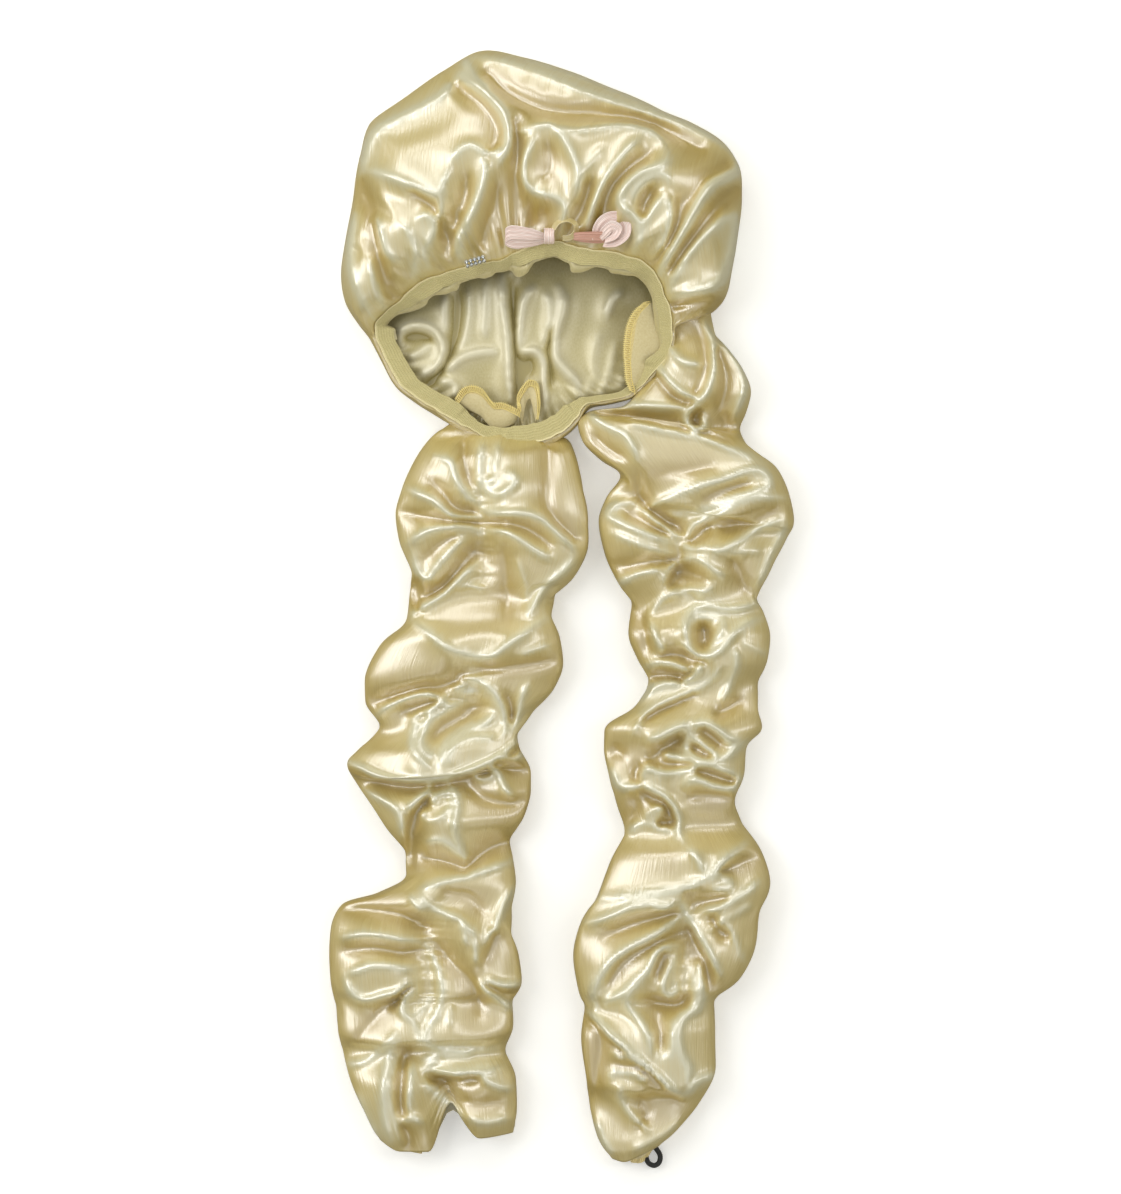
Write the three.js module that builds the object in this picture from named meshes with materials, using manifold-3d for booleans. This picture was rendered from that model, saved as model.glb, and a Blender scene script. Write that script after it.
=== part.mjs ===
// A satin sleep bonnet with two ruched satin sleeves, lying flat with its opening facing up.
// Millimetres, +Z up. The tables use a drawing frame whose origin is the middle of the opening.
// The finished group is moved so that its own origin is on the floor, under the middle of its box.
import * as THREE from "three";
import { mergeVertices } from "three/addons/utils/BufferGeometryUtils.js";
import Module from "manifold-3d";

const wasm = await Module();
wasm.setup();

// Driving dimensions
const CLOTH = 2; // satin wall
const GAP = 0.35; // clearance between pieces that touch
const BAND_THICK = 2; // knitted elastic
const BAND_DROP = 3; // how much lower the band's sewn edge lies than its free edge
const CROWN_GATHERS = 15; // main gathers round the upper half of the band
const GATHER_HEIGHT = 3.2;
const FOLD_LIMIT = 12; // folds that cross add up to no more than this
const TOP_POINTS = 12; // facets across the top of a sleeve
const FLOOR_POINTS = 4; // facets across the underside of a sleeve
const SLEEVE_STATIONS = 37; // rings along a sleeve
const UPPER_RAYS = 46; // rays of the crown from 5 to 177 degrees
const LOWER_RAYS = 20; // and from there round to 365 degrees
const FRILL = { steps: 12, wall: 1.2 };
const RIBBON = { width: 9, thick: 1, rise: 3.5 };
const KNOT = { radius: 7, height: 5.5, x: 23.5, y: 74, z: 57 };
const TAIL = { wide: 7.5, narrow: 4.5, length: 17, flat: 0.6, tip: 0.12, x: 61, y: 77, z: 57, turn: 0.35 };
const STONE = { radius: 2.3, table: 1.3, height: 1.9, count: 3, pitch: 4.7, facets: 8 };
const TRIM = { x: -32, y: 57.5, z: 50.6, turn: 0.16, depth: 6, thick: 1.6 };
const HAIR_LOOP = { radius: 5.2, cord: 1.7, stretch: 1.25, x: 88, y: -556, turn: 0.25 };
const SATIN = 0xdccfa2;
const KNIT = 0xcfc38f;
const SEAM_THREAD = 0xe8d8a4;
const PINK = 0xd9a894;
const SILVER = 0xc9cacb;
const BLACK = 0x141414;

function table(names, ...lists) {
  return lists.map((list) => Object.fromEntries(names.map((name, i) => [name, list[i]])));
}

// Sections of the crown, one at each direction from the middle of the opening: the radius of the
// band's sewn edge, of its free edge and of the cap's outline, the height of the free edge and of
// the puffed cloth.
const CROWN_SECTIONS = table(
  ["at", "seam", "rim", "out", "rim_z", "puff"],
  [0, 92.5, 100.5, 103.5, 29, 28],
  [6, 92.5, 101.5, 105, 31, 30],
  [9.5, 92.5, 102, 130, 33, 35],
  [13, 92, 102, 141, 35, 45],
  [20, 92, 101, 151.5, 38, 53],
  [27, 90, 101, 164, 41, 57],
  [34, 86, 97.5, 179.5, 44, 60],
  [40, 79, 91, 191, 46, 61],
  [45, 71, 86, 193.5, 47, 62],
  [52, 62, 79, 190, 47, 62],
  [60, 58.5, 74, 185, 47, 63],
  [70, 59, 72, 184.5, 47, 63],
  [80, 53, 68.5, 188.5, 47, 63],
  [90, 48, 63, 195.5, 46, 62],
  [98, 48, 59.5, 202, 45, 60],
  [106, 47, 57.5, 194.5, 44, 61],
  [117, 49, 60.5, 186, 42, 60],
  [124, 53, 63.5, 184, 40, 59],
  [131, 56, 66.5, 170, 37, 57],
  [141, 61, 73.5, 150.5, 33, 54],
  [150, 68, 82, 140.5, 29, 49],
  [160, 75, 88.5, 132.5, 25, 43],
  [167, 80, 96, 124.5, 22, 35],
  [173, 82, 102, 113.5, 20, 26],
  [178, 81, 100, 105, 18, 18],
  [187, 76, 94, 97.5, 17, 16.5],
  [198, 71, 88.5, 92, 17, 16.5],
  [208, 64.5, 80.5, 84, 17, 16.5],
  [219, 60, 73.5, 77, 17, 16.5],
  [231, 57, 69.5, 73, 17, 16.5],
  [241, 57, 68, 71.5, 17, 16.5],
  [252, 57, 69, 72.5, 17, 16.5],
  [264, 55, 68.5, 72, 17, 16.5],
  [275, 53, 67.5, 71, 17, 16.5],
  [285, 51, 66.5, 70, 17, 16.5],
  [295, 50, 65, 68.5, 18, 17.5],
  [304, 50, 62.5, 66, 18, 17.5],
  [315, 49, 59, 62.5, 19, 18.5],
  [327, 58, 70, 73.5, 21, 20],
  [334, 67, 79.5, 83, 22, 21],
  [341, 74, 85.5, 89, 24, 23],
  [348, 80, 91, 94.5, 26, 25],
  [356, 88, 99, 102.5, 28, 27],
);

// Rings of the crown between the band's free edge (rho 0) and the outline (rho 1), then back under.
const CROWN_RINGS = table(
  ["rho", "rim", "puff"],
  [0.09, 0.72, 0.3],
  [0.2, 0.4, 0.61],
  [0.34, 0.14, 0.87],
  [0.5, 0, 1],
  [0.66, 0, 0.99],
  [0.8, 0, 0.9],
  [0.91, 0, 0.74],
  [0.98, 0, 0.52],
  [1, 0, 0.32],
  [0.975, 0, 0.1],
  [0.9, 0, 0],
);
const FLOOR_RINGS = [0.94, 0.68, 0.42, 0.18]; // inside the opening, as shares of the sewn edge

const FOLD_COLUMNS = ["x0", "y0", "x1", "y1", "bow", "width", "height"];

// Main folds of the crown's upper layer
const CROWN_FOLDS = table(
  FOLD_COLUMNS,
  [-42, 184, -9, 144, 4, 9, 7],
  [-9, 144, 0, 78, -3, 9, 7],
  [-106, 116, -44, 181, 14, 9, 4],
  [-105, 117, -52, 98, 3, 9, 5],
  [-38, 130, -39, 60, 0, 12, 6],
  [-22, 132, -42, 62, -6, 8, 5],
  [-84, 88, -74, 46, 4, 9, 5],
  [-69, 86, -58, 47, 4, 7, 4],
  [10, 139, 2, 104, -4, 8, 6],
  [2, 104, 26, 80, 5, 8, 6],
  [20, 142, 36, 105, 4, 8, 5],
  [50, 146, 97, 122, 12, 9, 5],
  [80, 132, 43, 76, -7, 8, 5],
  [93, 119, 63, 92, 5, 8, 5],
  [98, 98, 75, 58, -2, 8, 5],
  [145, 114, 92, 46, -8, 9, 6],
  [146, 96, 98, 42, -5, 10, 5],
  [146, 90, 104, 32, 16, 9, 4],
  [-30, 190, 140, 132, 8, 9, 4],
  [-20, 174, 90, 150, 4, 16, -8],
);

// Folds of the back layer, seen through the opening
const FLOOR_FOLDS = table(
  FOLD_COLUMNS,
  [-28, 44, -28, -34, 3, 12, 7],
  [4, 34, 8, -24, -7, 9, 7],
  [27, 38, 30, -30, 5, 10, 6],
  [58, 12, 50, -26, 4, 9, 4],
  [-68, 4, -68, -12, 0, 10, 8],
);

const SLEEVE_COLUMNS = ["lx", "ly", "rx", "ry", "top", "seam", "pinch", "lean"];

// Sections of the left sleeve from the band to the hem: its left and right side, its height, where
// the shirred line crosses it (0 left, 1 right), how deep the shirring pulls it in, and how far its
// crest hangs over towards the hem.
const LEFT_SLEEVE = table(
  SLEEVE_COLUMNS,
  [-51, -54, 18, -60, 11, 0.38, 0, 0],
  [-60, -61, 30, -65, 16, 0.38, 0, 0],
  [-71, -75, 35, -76, 29, 0.4, 3, 0],
  [-82, -99, 40, -98, 38, 0.43, 10, 0],
  [-86, -116, 43, -118, 40, 0.43, 15, 0],
  [-84, -133, 43, -136, 38, 0.43, 15, 0],
  [-76, -156, 34, -157, 30, 0.42, 9, 2],
  [-77, -170, 21, -171, 19, 0.45, 2, -2],
  [-80, -187, 19, -184, 33, 0.5, 0, -9],
  [-97, -205, 24, -200, 39, 0.5, 0, 0],
  [-107, -228, 26, -217, 38, 0.54, 11, 0],
  [-107, -243, 20, -234, 29, 0.55, 12, 0],
  [-98, -260, 4, -252, 24, 0.57, 4, 2],
  [-112, -276, -4, -266, 35, 0.55, 0, 6],
  [-119, -285, -3, -274, 37, 0.52, 0, 12],
  [-112, -300, 4, -291, 24, 0.5, 4, 0],
  [-103, -313, 4, -304, 32, 0.5, 8, 0],
  [-93, -329, 0, -320, 34, 0.5, 2, 0],
  [-80, -348, -10, -339, 22, 0.5, 0, 0],
  [-80, -361, -8, -351, 25, 0.5, 0, 0],
  [-99, -373, -6, -367, 35, 0.5, 0, 3],
  [-123, -382, -8, -385, 37, 0.52, 5, 3],
  [-130, -398, -8, -400, 40, 0.53, 13, 0],
  [-131, -415, -4, -415, 39, 0.53, 15, 0],
  [-130, -433, -2, -433, 36, 0.52, 12, 6],
  [-127, -450, -8, -448, 30, 0.5, 7, 0],
  [-125, -466, -8, -463, 35, 0.5, 5, 7],
  [-122, -483, -13, -481, 22, 0.5, 5, 0],
  [-116, -501, -6, -497, 34, 0.52, 13, 0],
  [-106, -519, -5, -513, 30, 0.52, 15, 0],
  [-98, -532, -7, -527, 22, 0.52, 8, 0],
);

// Sections of the right sleeve
const RIGHT_SLEEVE = table(
  SLEEVE_COLUMNS,
  [99, 23, 127, 26, 21, 0.5, 0, 0],
  [106, 9, 130, 10, 24, 0.5, 0, 0],
  [104, -4, 139, -3, 30, 0.5, 0, 0],
  [97, -19, 149, -18, 35, 0.5, 0, 0],
  [85, -33, 154, -32, 34, 0.5, 0, 0],
  [67, -42, 151, -45, 27, 0.5, 0, 0],
  [45, -46, 147, -57, 22, 0.5, 0, 0],
  [38, -55, 152, -70, 33, 0.5, 0, -8],
  [41, -66, 171, -84, 39, 0.5, 0, 0],
  [53, -79, 180, -104, 41, 0.45, 0, 0],
  [66, -90, 183, -120, 36, 0.42, 4, 8],
  [57, -105, 179, -131, 28, 0.42, 7, 0],
  [52, -121, 172, -144, 37, 0.44, 15, 0],
  [56, -142, 166, -157, 36, 0.45, 15, 0],
  [65, -162, 159, -172, 29, 0.46, 8, 0],
  [74, -178, 163, -183, 24, 0.5, 3, 0],
  [72, -197, 167, -199, 36, 0.52, 6, 0],
  [78, -214, 165, -215, 34, 0.5, 2, 0],
  [85, -229, 159, -232, 23, 0.5, 0, 0],
  [76, -246, 159, -247, 30, 0.5, 0, 0],
  [56, -262, 162, -261, 36, 0.5, 5, 0],
  [56, -276, 152, -275, 32, 0.52, 10, 0],
  [59, -293, 150, -293, 34, 0.5, 6, 0],
  [64, -312, 144, -312, 29, 0.5, 3, 0],
  [69, -331, 148, -326, 22, 0.5, 0, 0],
  [60, -351, 161, -346, 37, 0.5, 0, 0],
  [50, -374, 167, -367, 39, 0.54, 5, 6],
  [39, -396, 160, -389, 39, 0.57, 15, 0],
  [35, -416, 157, -410, 38, 0.6, 15, 0],
  [38, -437, 147, -431, 33, 0.64, 9, 3],
  [42, -453, 130, -449, 28, 0.6, 2, 0],
  [40, -472, 130, -468, 35, 0.5, 0, 0],
  [43, -495, 130, -491, 34, 0.5, 0, 9],
  [46, -517, 120, -513, 23, 0.5, 0, 0],
  [51, -537, 106, -530, 22, 0.5, 0, 0],
  [60, -551, 93, -543, 16, 0.5, 0, 0],
);

// How far each part of a hem hangs past the last section, from the left side to the right
const LEFT_HEM = table(
  ["at", "drop"],
  [0, 10], [0.15, 18], [0.38, 19], [0.47, -2], [0.53, -14], [0.62, -1], [0.75, 12], [1, 10],
);
const RIGHT_HEM = table(["at", "drop"], [0, 4], [0.3, 8], [0.6, 6], [1, 3]);

const LEFT_FOLDS = table(
  FOLD_COLUMNS,
  [-33, -108, -58, -80, 4, 10, 6],
  [-34, -117, -78, -97, -4, 10, 6],
  [-35, -126, -80, -135, 4, 10, 7],
  [-38, -139, -70, -160, 0, 10, 6],
  [-24, -114, 38, -146, -9, 11, 7],
  [-24, -127, 32, -148, -6, 10, 6],
  [-27, -97, -27, -64, 0, 9, 6],
  [16, -62, 14, -112, 3, 10, 6],
  [-74, -184, -32, -144, -4, 9, 7],
  [-66, -207, 16, -187, 14, 11, 6],
  [-50, -231, -98, -238, 4, 10, -6],
  [-54, -240, -98, -252, 3, 9, 6],
  [-35, -228, -12, -258, -6, 11, 7],
  [-72, -256, -64, -290, 4, 9, 6],
  [-56, -304, -76, -345, -6, 10, -4],
  [-46, -303, -43, -344, 3, 11, 6],
  [-70, -366, -12, -353, 3, 9, 6],
  [-70, -367, -30, -402, 5, 9, 6],
  [-28, -403, -9, -362, -4, 9, 6],
  [-72, -402, -127, -398, 3, 10, 6],
  [-74, -423, -124, -426, 4, 10, 6],
  [-78, -434, -120, -442, 9, 10, 6],
  [-56, -411, -4, -433, 6, 11, 6],
  [-64, -436, -62, -482, 4, 10, 6],
  [-90, -456, -118, -490, -3, 11, 6],
  [-86, -470, -95, -528, 5, 11, 7],
  [-68, -492, -15, -488, 0, 9, 6],
);

const RIGHT_FOLDS = table(
  FOLD_COLUMNS,
  [127, 8, 130, -38, -9, 10, 6],
  [107, -2, 118, -32, -8, 10, 6],
  [50, -43, 112, -43, 2, 9, 6],
  [45, -51, 145, -71, -2, 10, 7],
  [84, -107, 165, -95, 6, 11, 6],
  [112, -125, 174, -101, 4, 11, 7],
  [110, -138, 170, -119, 4, 10, 6],
  [70, -89, 106, -130, -9, 10, 7],
  [60, -112, 104, -137, 4, 10, 6],
  [98, -151, 88, -172, 2, 9, 6],
  [110, -152, 157, -178, -4, 10, 6],
  [108, -196, 132, -196, 13, 9, 7],
  [108, -198, 132, -198, -13, 9, 7],
  [158, -188, 118, -217, 4, 10, 7],
  [145, -212, 78, -260, 6, 14, 8],
  [112, -266, 138, -266, 10, 9, 6],
  [82, -291, 148, -293, 5, 10, 6],
  [72, -301, 105, -328, -9, 10, 6],
  [108, -330, 112, -358, 0, 12, 6],
  [50, -379, 100, -373, -2, 9, 6],
  [112, -371, 158, -350, 4, 10, 6],
  [106, -389, 50, -442, -10, 11, 7],
  [103, -411, 75, -442, -8, 10, 6],
  [109, -376, 130, -434, 0, 10, 7],
  [117, -430, 112, -492, 4, 10, 6],
  [46, -456, 110, -511, 4, 10, 7],
);

// Overlocked seam allowances that stand inside the opening along the band's sewn edge: the
// directions where each begins and ends, its width, and how much lower its free edge hangs.
const SEAM_FRILLS = table(
  ["name", "from", "to", "width", "drop", "waves"],
  ["left_seam_frill", 216, 262, 15, 4, 5],
  ["middle_seam_frill", 267, 283, 18, 3, 2],
  ["right_seam_frill", 343, 385, 22, 8, 1],
);

// Ribbon loops of the bow: where each leaves the knot, its direction and its length
const BOW_LOOPS = table(
  ["name", "x", "y", "z", "turn", "length"],
  ["bow_left_loop", 16, 66, 56, 3.1, 27],
  ["bow_right_loop", 31, 75, 57, -0.06, 21],
);

function smooth(from, to, value) {
  return THREE.MathUtils.smoothstep(value, from, to);
}

// A smooth curve through the rows of a table that never swings past them
function curveThrough(rows, key, period) {
  const names = Object.keys(rows[0]).filter((name) => name !== key);
  const ring = period
    ? [
        ...rows.slice(-2).map((row) => ({ ...row, [key]: row[key] - period })),
        ...rows,
        ...rows.slice(0, 2).map((row) => ({ ...row, [key]: row[key] + period })),
      ]
    : rows;
  const last = ring.length - 1;
  const rise = (i, name) => (ring[i + 1][name] - ring[i][name]) / (ring[i + 1][key] - ring[i][key]);
  const slope = (i, name) => {
    if (i === 0) return rise(0, name);
    if (i === last) return rise(last - 1, name);
    const [before, after] = [rise(i - 1, name), rise(i, name)];
    return before * after <= 0 ? 0 : (2 * before * after) / (before + after);
  };
  return (at) => {
    let i = 0;
    while (i < last - 1 && ring[i + 1][key] < at) i += 1;
    const span = ring[i + 1][key] - ring[i][key];
    const t = THREE.MathUtils.clamp((at - ring[i][key]) / span, 0, 1);
    const [t2, t3] = [t * t, t * t * t];
    return Object.fromEntries(
      names.map((name) => [
        name,
        (2 * t3 - 3 * t2 + 1) * ring[i][name] +
          (t3 - 2 * t2 + t) * span * slope(i, name) +
          (3 * t2 - 2 * t3) * ring[i + 1][name] +
          (t3 - t2) * span * slope(i + 1, name),
      ]),
    );
  };
}

// The height that a table of bowed folds gives at a place
function foldHeight(folds, x, y) {
  let sum = 0;
  for (const fold of folds) {
    const [dx, dy] = [fold.x1 - fold.x0, fold.y1 - fold.y0];
    const length = Math.hypot(dx, dy);
    const along = ((x - fold.x0) * dx + (y - fold.y0) * dy) / length;
    const t = THREE.MathUtils.clamp(along / length, 0, 1);
    const across = ((y - fold.y0) * dx - (x - fold.x0) * dy) / length - fold.bow * 4 * t * (1 - t);
    const past = along - t * length;
    const distance = Math.hypot(across, past) / fold.width;
    sum += fold.height * Math.exp(-1.6 * distance * distance);
  }
  return FOLD_LIMIT * Math.tanh(sum / FOLD_LIMIT);
}

// Grids of points: a list of rings, each a closed list of points

function gridNormals(rings) {
  const count = rings[0].length;
  const normals = rings.map((ring) => ring.map(() => new THREE.Vector3()));
  for (let v = 0; v < rings.length - 1; v += 1) {
    for (let u = 0; u < count; u += 1) {
      const w = (u + 1) % count;
      const diagonal = rings[v + 1][w].clone().sub(rings[v][u]);
      const other = rings[v][w].clone().sub(rings[v + 1][u]);
      const normal = diagonal.cross(other);
      for (const corner of [normals[v][u], normals[v + 1][u], normals[v + 1][w], normals[v][w]]) {
        corner.add(normal);
      }
    }
  }
  return normals.map((ring) => ring.map((normal) => normal.normalize()));
}

function offsetGrid(rings, distance) {
  const normals = gridNormals(rings);
  return rings.map((ring, v) => ring.map((p, u) => p.clone().addScaledVector(normals[v][u], distance)));
}

function centreOf(ring) {
  return ring.reduce((sum, p) => sum.add(p), new THREE.Vector3()).divideScalar(ring.length);
}

// One closed surface through a list of rings. Each end is closed by a fan, or the two ends meet.
function closedSurface(rings, joined) {
  const count = rings[0].length;
  const points = rings.flat();
  const faces = [];
  const at = (v, u) => (v % rings.length) * count + (u % count);
  const bands = joined ? rings.length : rings.length - 1;
  for (let v = 0; v < bands; v += 1) {
    for (let u = 0; u < count; u += 1) {
      faces.push(at(v, u), at(v + 1, u), at(v + 1, u + 1));
      faces.push(at(v, u), at(v + 1, u + 1), at(v, u + 1));
    }
  }
  if (!joined) {
    const first = points.push(centreOf(rings[0])) - 1;
    const last = points.push(centreOf(rings.at(-1))) - 1;
    for (let u = 0; u < count; u += 1) {
      faces.push(first, at(0, u), at(0, u + 1));
      faces.push(last, at(rings.length - 1, u + 1), at(rings.length - 1, u));
    }
  }
  const geometry = new THREE.BufferGeometry();
  geometry.setAttribute("position", new THREE.Float32BufferAttribute(points.flatMap((p) => p.toArray()), 3));
  geometry.setIndex(faces);
  return geometry;
}

// A cloth wall open at both ends
function tubeWall(rings, wall) {
  return closedSurface([...rings, ...offsetGrid(rings, -wall).reverse()], true);
}

// A cloth wall open at its first ring and closed at its last
function bagWall(rings, wall) {
  const inner = offsetGrid(rings, -wall).reverse();
  const outerPole = new Array(rings[0].length).fill(centreOf(rings.at(-1)));
  const innerPole = new Array(rings[0].length).fill(centreOf(inner[0]));
  return closedSurface([...rings, outerPole, innerPole, ...inner], true);
}

// Booleans

function solidOf(geometry, matrix) {
  const bare = geometry.index ? geometry.clone() : geometry;
  bare.deleteAttribute("normal");
  bare.deleteAttribute("uv");
  if (matrix) bare.applyMatrix4(matrix);
  const merged = mergeVertices(bare, 1e-4);
  const index = [];
  for (let i = 0; i < merged.index.count; i += 3) {
    const face = [0, 1, 2].map((k) => merged.index.getX(i + k));
    if (new Set(face).size === 3) index.push(...face);
  }
  return new wasm.Manifold(
    new wasm.Mesh({
      numProp: 3,
      vertProperties: new Float32Array(merged.attributes.position.array),
      triVerts: new Uint32Array(index),
    }),
  );
}

function largestPiece(solid) {
  return solid.decompose().reduce((best, piece) => (piece.volume() > best.volume() ? piece : best));
}

function geometryOf(solid) {
  const mesh = largestPiece(solid).getMesh();
  const geometry = new THREE.BufferGeometry();
  geometry.setAttribute("position", new THREE.BufferAttribute(new Float32Array(mesh.vertProperties), 3));
  geometry.setIndex(new THREE.BufferAttribute(new Uint32Array(mesh.triVerts), 1));
  return geometry;
}

function cutBy(solid, tools) {
  return tools.reduce((rest, tool) => rest.subtract(tool), solid);
}

function boxAt(width, depth, height, x, y, z, turn = 0) {
  const place = new THREE.Matrix4().makeRotationZ(turn).setPosition(x, y, z);
  return solidOf(new THREE.BoxGeometry(width, depth, height), place);
}

// Crown

const crownSection = curveThrough(CROWN_SECTIONS, "at", 360);

// Directions of the crown's rays, closer together where the cap is large
const RAYS = [
  ...Array.from({ length: UPPER_RAYS }, (_, i) => 5 + (i * 172) / UPPER_RAYS),
  ...Array.from({ length: LOWER_RAYS }, (_, i) => 177 + (i * 188) / LOWER_RAYS),
];

function onRay(degrees, radius, z) {
  const angle = THREE.MathUtils.degToRad(degrees);
  return new THREE.Vector3(radius * Math.cos(angle), radius * Math.sin(angle), z);
}

// Rises from 0 beside the band's lower half to 1 where the cap is fully puffed
function puffShare(section) {
  return smooth(3, 16, section.puff - section.rim_z + 3) * smooth(10, 45, section.out - section.rim);
}

function crownTopPoint(degrees, row) {
  const section = crownSection(degrees);
  const radius = section.rim + row.rho * (section.out - section.rim);
  const point = onRay(degrees, radius, row.rim * (section.rim_z - GAP) + row.puff * section.puff);
  const share = puffShare(section);
  const gather = Math.cos(THREE.MathUtils.degToRad(degrees) * CROWN_GATHERS * 2);
  const nearBand = smooth(0, 0.08, row.rho) * (1 - smooth(0.15, 0.55, row.rho));
  const above = 1 - smooth(0.8, 1, row.rho);
  if (row.puff > 0.29) {
    const folds = foldHeight(CROWN_FOLDS, point.x, point.y);
    point.z += share * (GATHER_HEIGHT * gather * nearBand + folds * above);
  }
  return point;
}

function crownGrid() {
  const rings = [
    RAYS.map((a) => onRay(a, crownSection(a).seam, crownSection(a).rim_z - BAND_DROP - GAP)),
    RAYS.map((a) => onRay(a, crownSection(a).rim, crownSection(a).rim_z - GAP)),
    ...CROWN_RINGS.map((row) => RAYS.map((a) => crownTopPoint(a, row))),
  ];
  const under = rings.at(-1).map((p) => Math.hypot(p.x, p.y));
  rings.push(RAYS.map((a, i) => onRay(a, (under[i] + crownSection(a).seam) / 2, 0)));
  for (const share of FLOOR_RINGS) {
    rings.push(
      RAYS.map((a) => {
        const point = onRay(a, share * crownSection(a).seam, 0);
        point.z = Math.max(0, foldHeight(FLOOR_FOLDS, point.x, point.y)) * (1 - smooth(0.68, 0.94, share));
        return point;
      }),
    );
  }
  return rings;
}

const crownRings = crownGrid();
const crownWall = solidOf(bagWall(crownRings, CLOTH));
const crownFilled = solidOf(closedSurface(offsetGrid(crownRings, GAP), false));
const SLEEVE_MOUTHS = [
  boxAt(62, 26, 8, -15, -68, 7.5, -0.05),
  boxAt(18, 22, 13, 117, 18, 12.5, 0.1),
];
const crown = cutBy(crownWall, SLEEVE_MOUTHS);

// Elastic band: a flat strip between the sewn edge and the free edge

function bandSurface(grow, below = 0) {
  const lower = -grow - below;
  const upper = BAND_THICK + grow;
  const edges = [
    ["seam", -grow, lower],
    ["rim", grow, lower],
    ["rim", grow, upper],
    ["seam", -grow, upper],
  ];
  const rings = edges.map(([edge, out, up]) =>
    RAYS.map((a) => {
      const section = crownSection(a);
      const drop = edge === "seam" ? BAND_DROP : 0;
      return onRay(a, section[edge] + out, section.rim_z - drop + up);
    }),
  );
  return closedSurface(rings.reverse(), true);
}

const band = solidOf(bandSurface(0));
const bandGrown = solidOf(bandSurface(GAP));
const sewnEdgeGrown = solidOf(bandSurface(GAP, 2 * CLOTH));

// Sleeves

const ringPoints = TOP_POINTS + FLOOR_POINTS;

// A closed ring over the top of a sleeve from its left side to its right, and back underneath
function sleeveRing(section, folds, hem, hemShare) {
  const side = 0.36 * section.top;
  const points = [];
  for (let i = 0; i < ringPoints; i += 1) {
    const over = i <= TOP_POINTS;
    const angle = over
      ? (Math.PI * i) / TOP_POINTS
      : Math.PI * (1 + (i - TOP_POINTS) / FLOOR_POINTS);
    const share = 0.5 - 0.5 * Math.cos(angle);
    const across = over ? share : THREE.MathUtils.lerp(0.5, share, 0.97);
    const x = THREE.MathUtils.lerp(section.lx, section.rx, across);
    const y = THREE.MathUtils.lerp(section.ly, section.ry, across) - hem(share).drop * hemShare;
    const bulge = Math.abs(Math.sin(angle));
    let z = Math.max(0, side * (1 - 1.6 * bulge));
    let lean = 0;
    if (over) {
      const notch = (share - section.seam) / 0.1;
      const dome = side + (section.top - side) * bulge ** 0.7;
      z = dome - section.pinch * Math.exp(-notch * notch) + bulge * foldHeight(folds, x, y);
      lean = section.lean * bulge;
    }
    points.push(new THREE.Vector3(x, y - lean, z));
  }
  return points;
}

function sleeveGrid(sections, folds, hemRows) {
  const numbered = sections.map((section, at) => ({ at, ...section }));
  const sectionAt = curveThrough(numbered, "at");
  const hem = curveThrough(hemRows, "at");
  const last = sections.length - 1;
  const rings = [];
  for (let i = 0; i < SLEEVE_STATIONS; i += 1) {
    const at = (last * i) / (SLEEVE_STATIONS - 1);
    rings.push(sleeveRing(sectionAt(at), folds, hem, smooth(last - 3, last, at)));
  }
  return rings;
}

const neighbours = [crownFilled, bandGrown];
const leftRings = sleeveGrid(LEFT_SLEEVE, LEFT_FOLDS, LEFT_HEM);
const rightRings = sleeveGrid(RIGHT_SLEEVE, RIGHT_FOLDS, RIGHT_HEM);
const leftSleeve = cutBy(solidOf(tubeWall(leftRings, CLOTH)), neighbours);
const rightSleeve = cutBy(solidOf(tubeWall(rightRings, CLOTH)), neighbours);

// Seam frills: wavy strips from the band's sewn edge inwards, widest in their middle

function frillSurface(frill) {
  const corners = [[0, 0], [0, 1], [1, 1], [1, 0]];
  const rings = Array.from({ length: FRILL.steps + 1 }, (_, i) => {
    const share = i / FRILL.steps;
    const degrees = THREE.MathUtils.lerp(frill.from, frill.to, share);
    const section = crownSection(degrees);
    const width = frill.width * (0.25 + 0.75 * Math.sin(Math.PI * share));
    const wave = Math.cos(2 * Math.PI * frill.waves * share);
    return corners.map(([inward, up]) => {
      const z = section.rim_z - BAND_DROP + GAP + up * FRILL.wall - inward * (frill.drop - wave);
      return onRay(degrees, section.seam - 2 * GAP - inward * width, z);
    });
  });
  return closedSurface(rings, false);
}

// Ribbon bow and crystal trim, seated on the cap behind the band

function ribbonLoop(length) {
  const rise = RIBBON.rise;
  const outline = (inset) => {
    const shape = new THREE.Path();
    shape.moveTo(inset, 0);
    shape.bezierCurveTo(length * 0.3, rise * 0.75 - inset, length - inset, rise - inset, length - inset, 0);
    shape.bezierCurveTo(length - inset, inset - rise, length * 0.3, inset - rise * 0.75, inset, 0);
    return shape.getPoints(6);
  };
  const shape = new THREE.Shape(outline(0));
  shape.holes.push(new THREE.Path(outline(RIBBON.thick).slice(0, -1).reverse()));
  const loop = new THREE.ExtrudeGeometry(shape, { depth: RIBBON.width, bevelEnabled: false });
  return loop.rotateX(Math.PI / 2);
}

function placed(x, y, z, turn) {
  return new THREE.Matrix4().makeRotationZ(turn).setPosition(x, y, z);
}

function bowKnot() {
  const ball = new THREE.SphereGeometry(1, 10, 6).scale(KNOT.radius, KNOT.radius, KNOT.height);
  return solidOf(ball, placed(KNOT.x, KNOT.y, KNOT.z, 0));
}

function bowTail() {
  const cone = new THREE.CylinderGeometry(TAIL.wide, TAIL.narrow, TAIL.length, 10);
  return solidOf(cone.rotateX(TAIL.tip).scale(1, 1, TAIL.flat), placed(TAIL.x, TAIL.y, TAIL.z, TAIL.turn));
}

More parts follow.
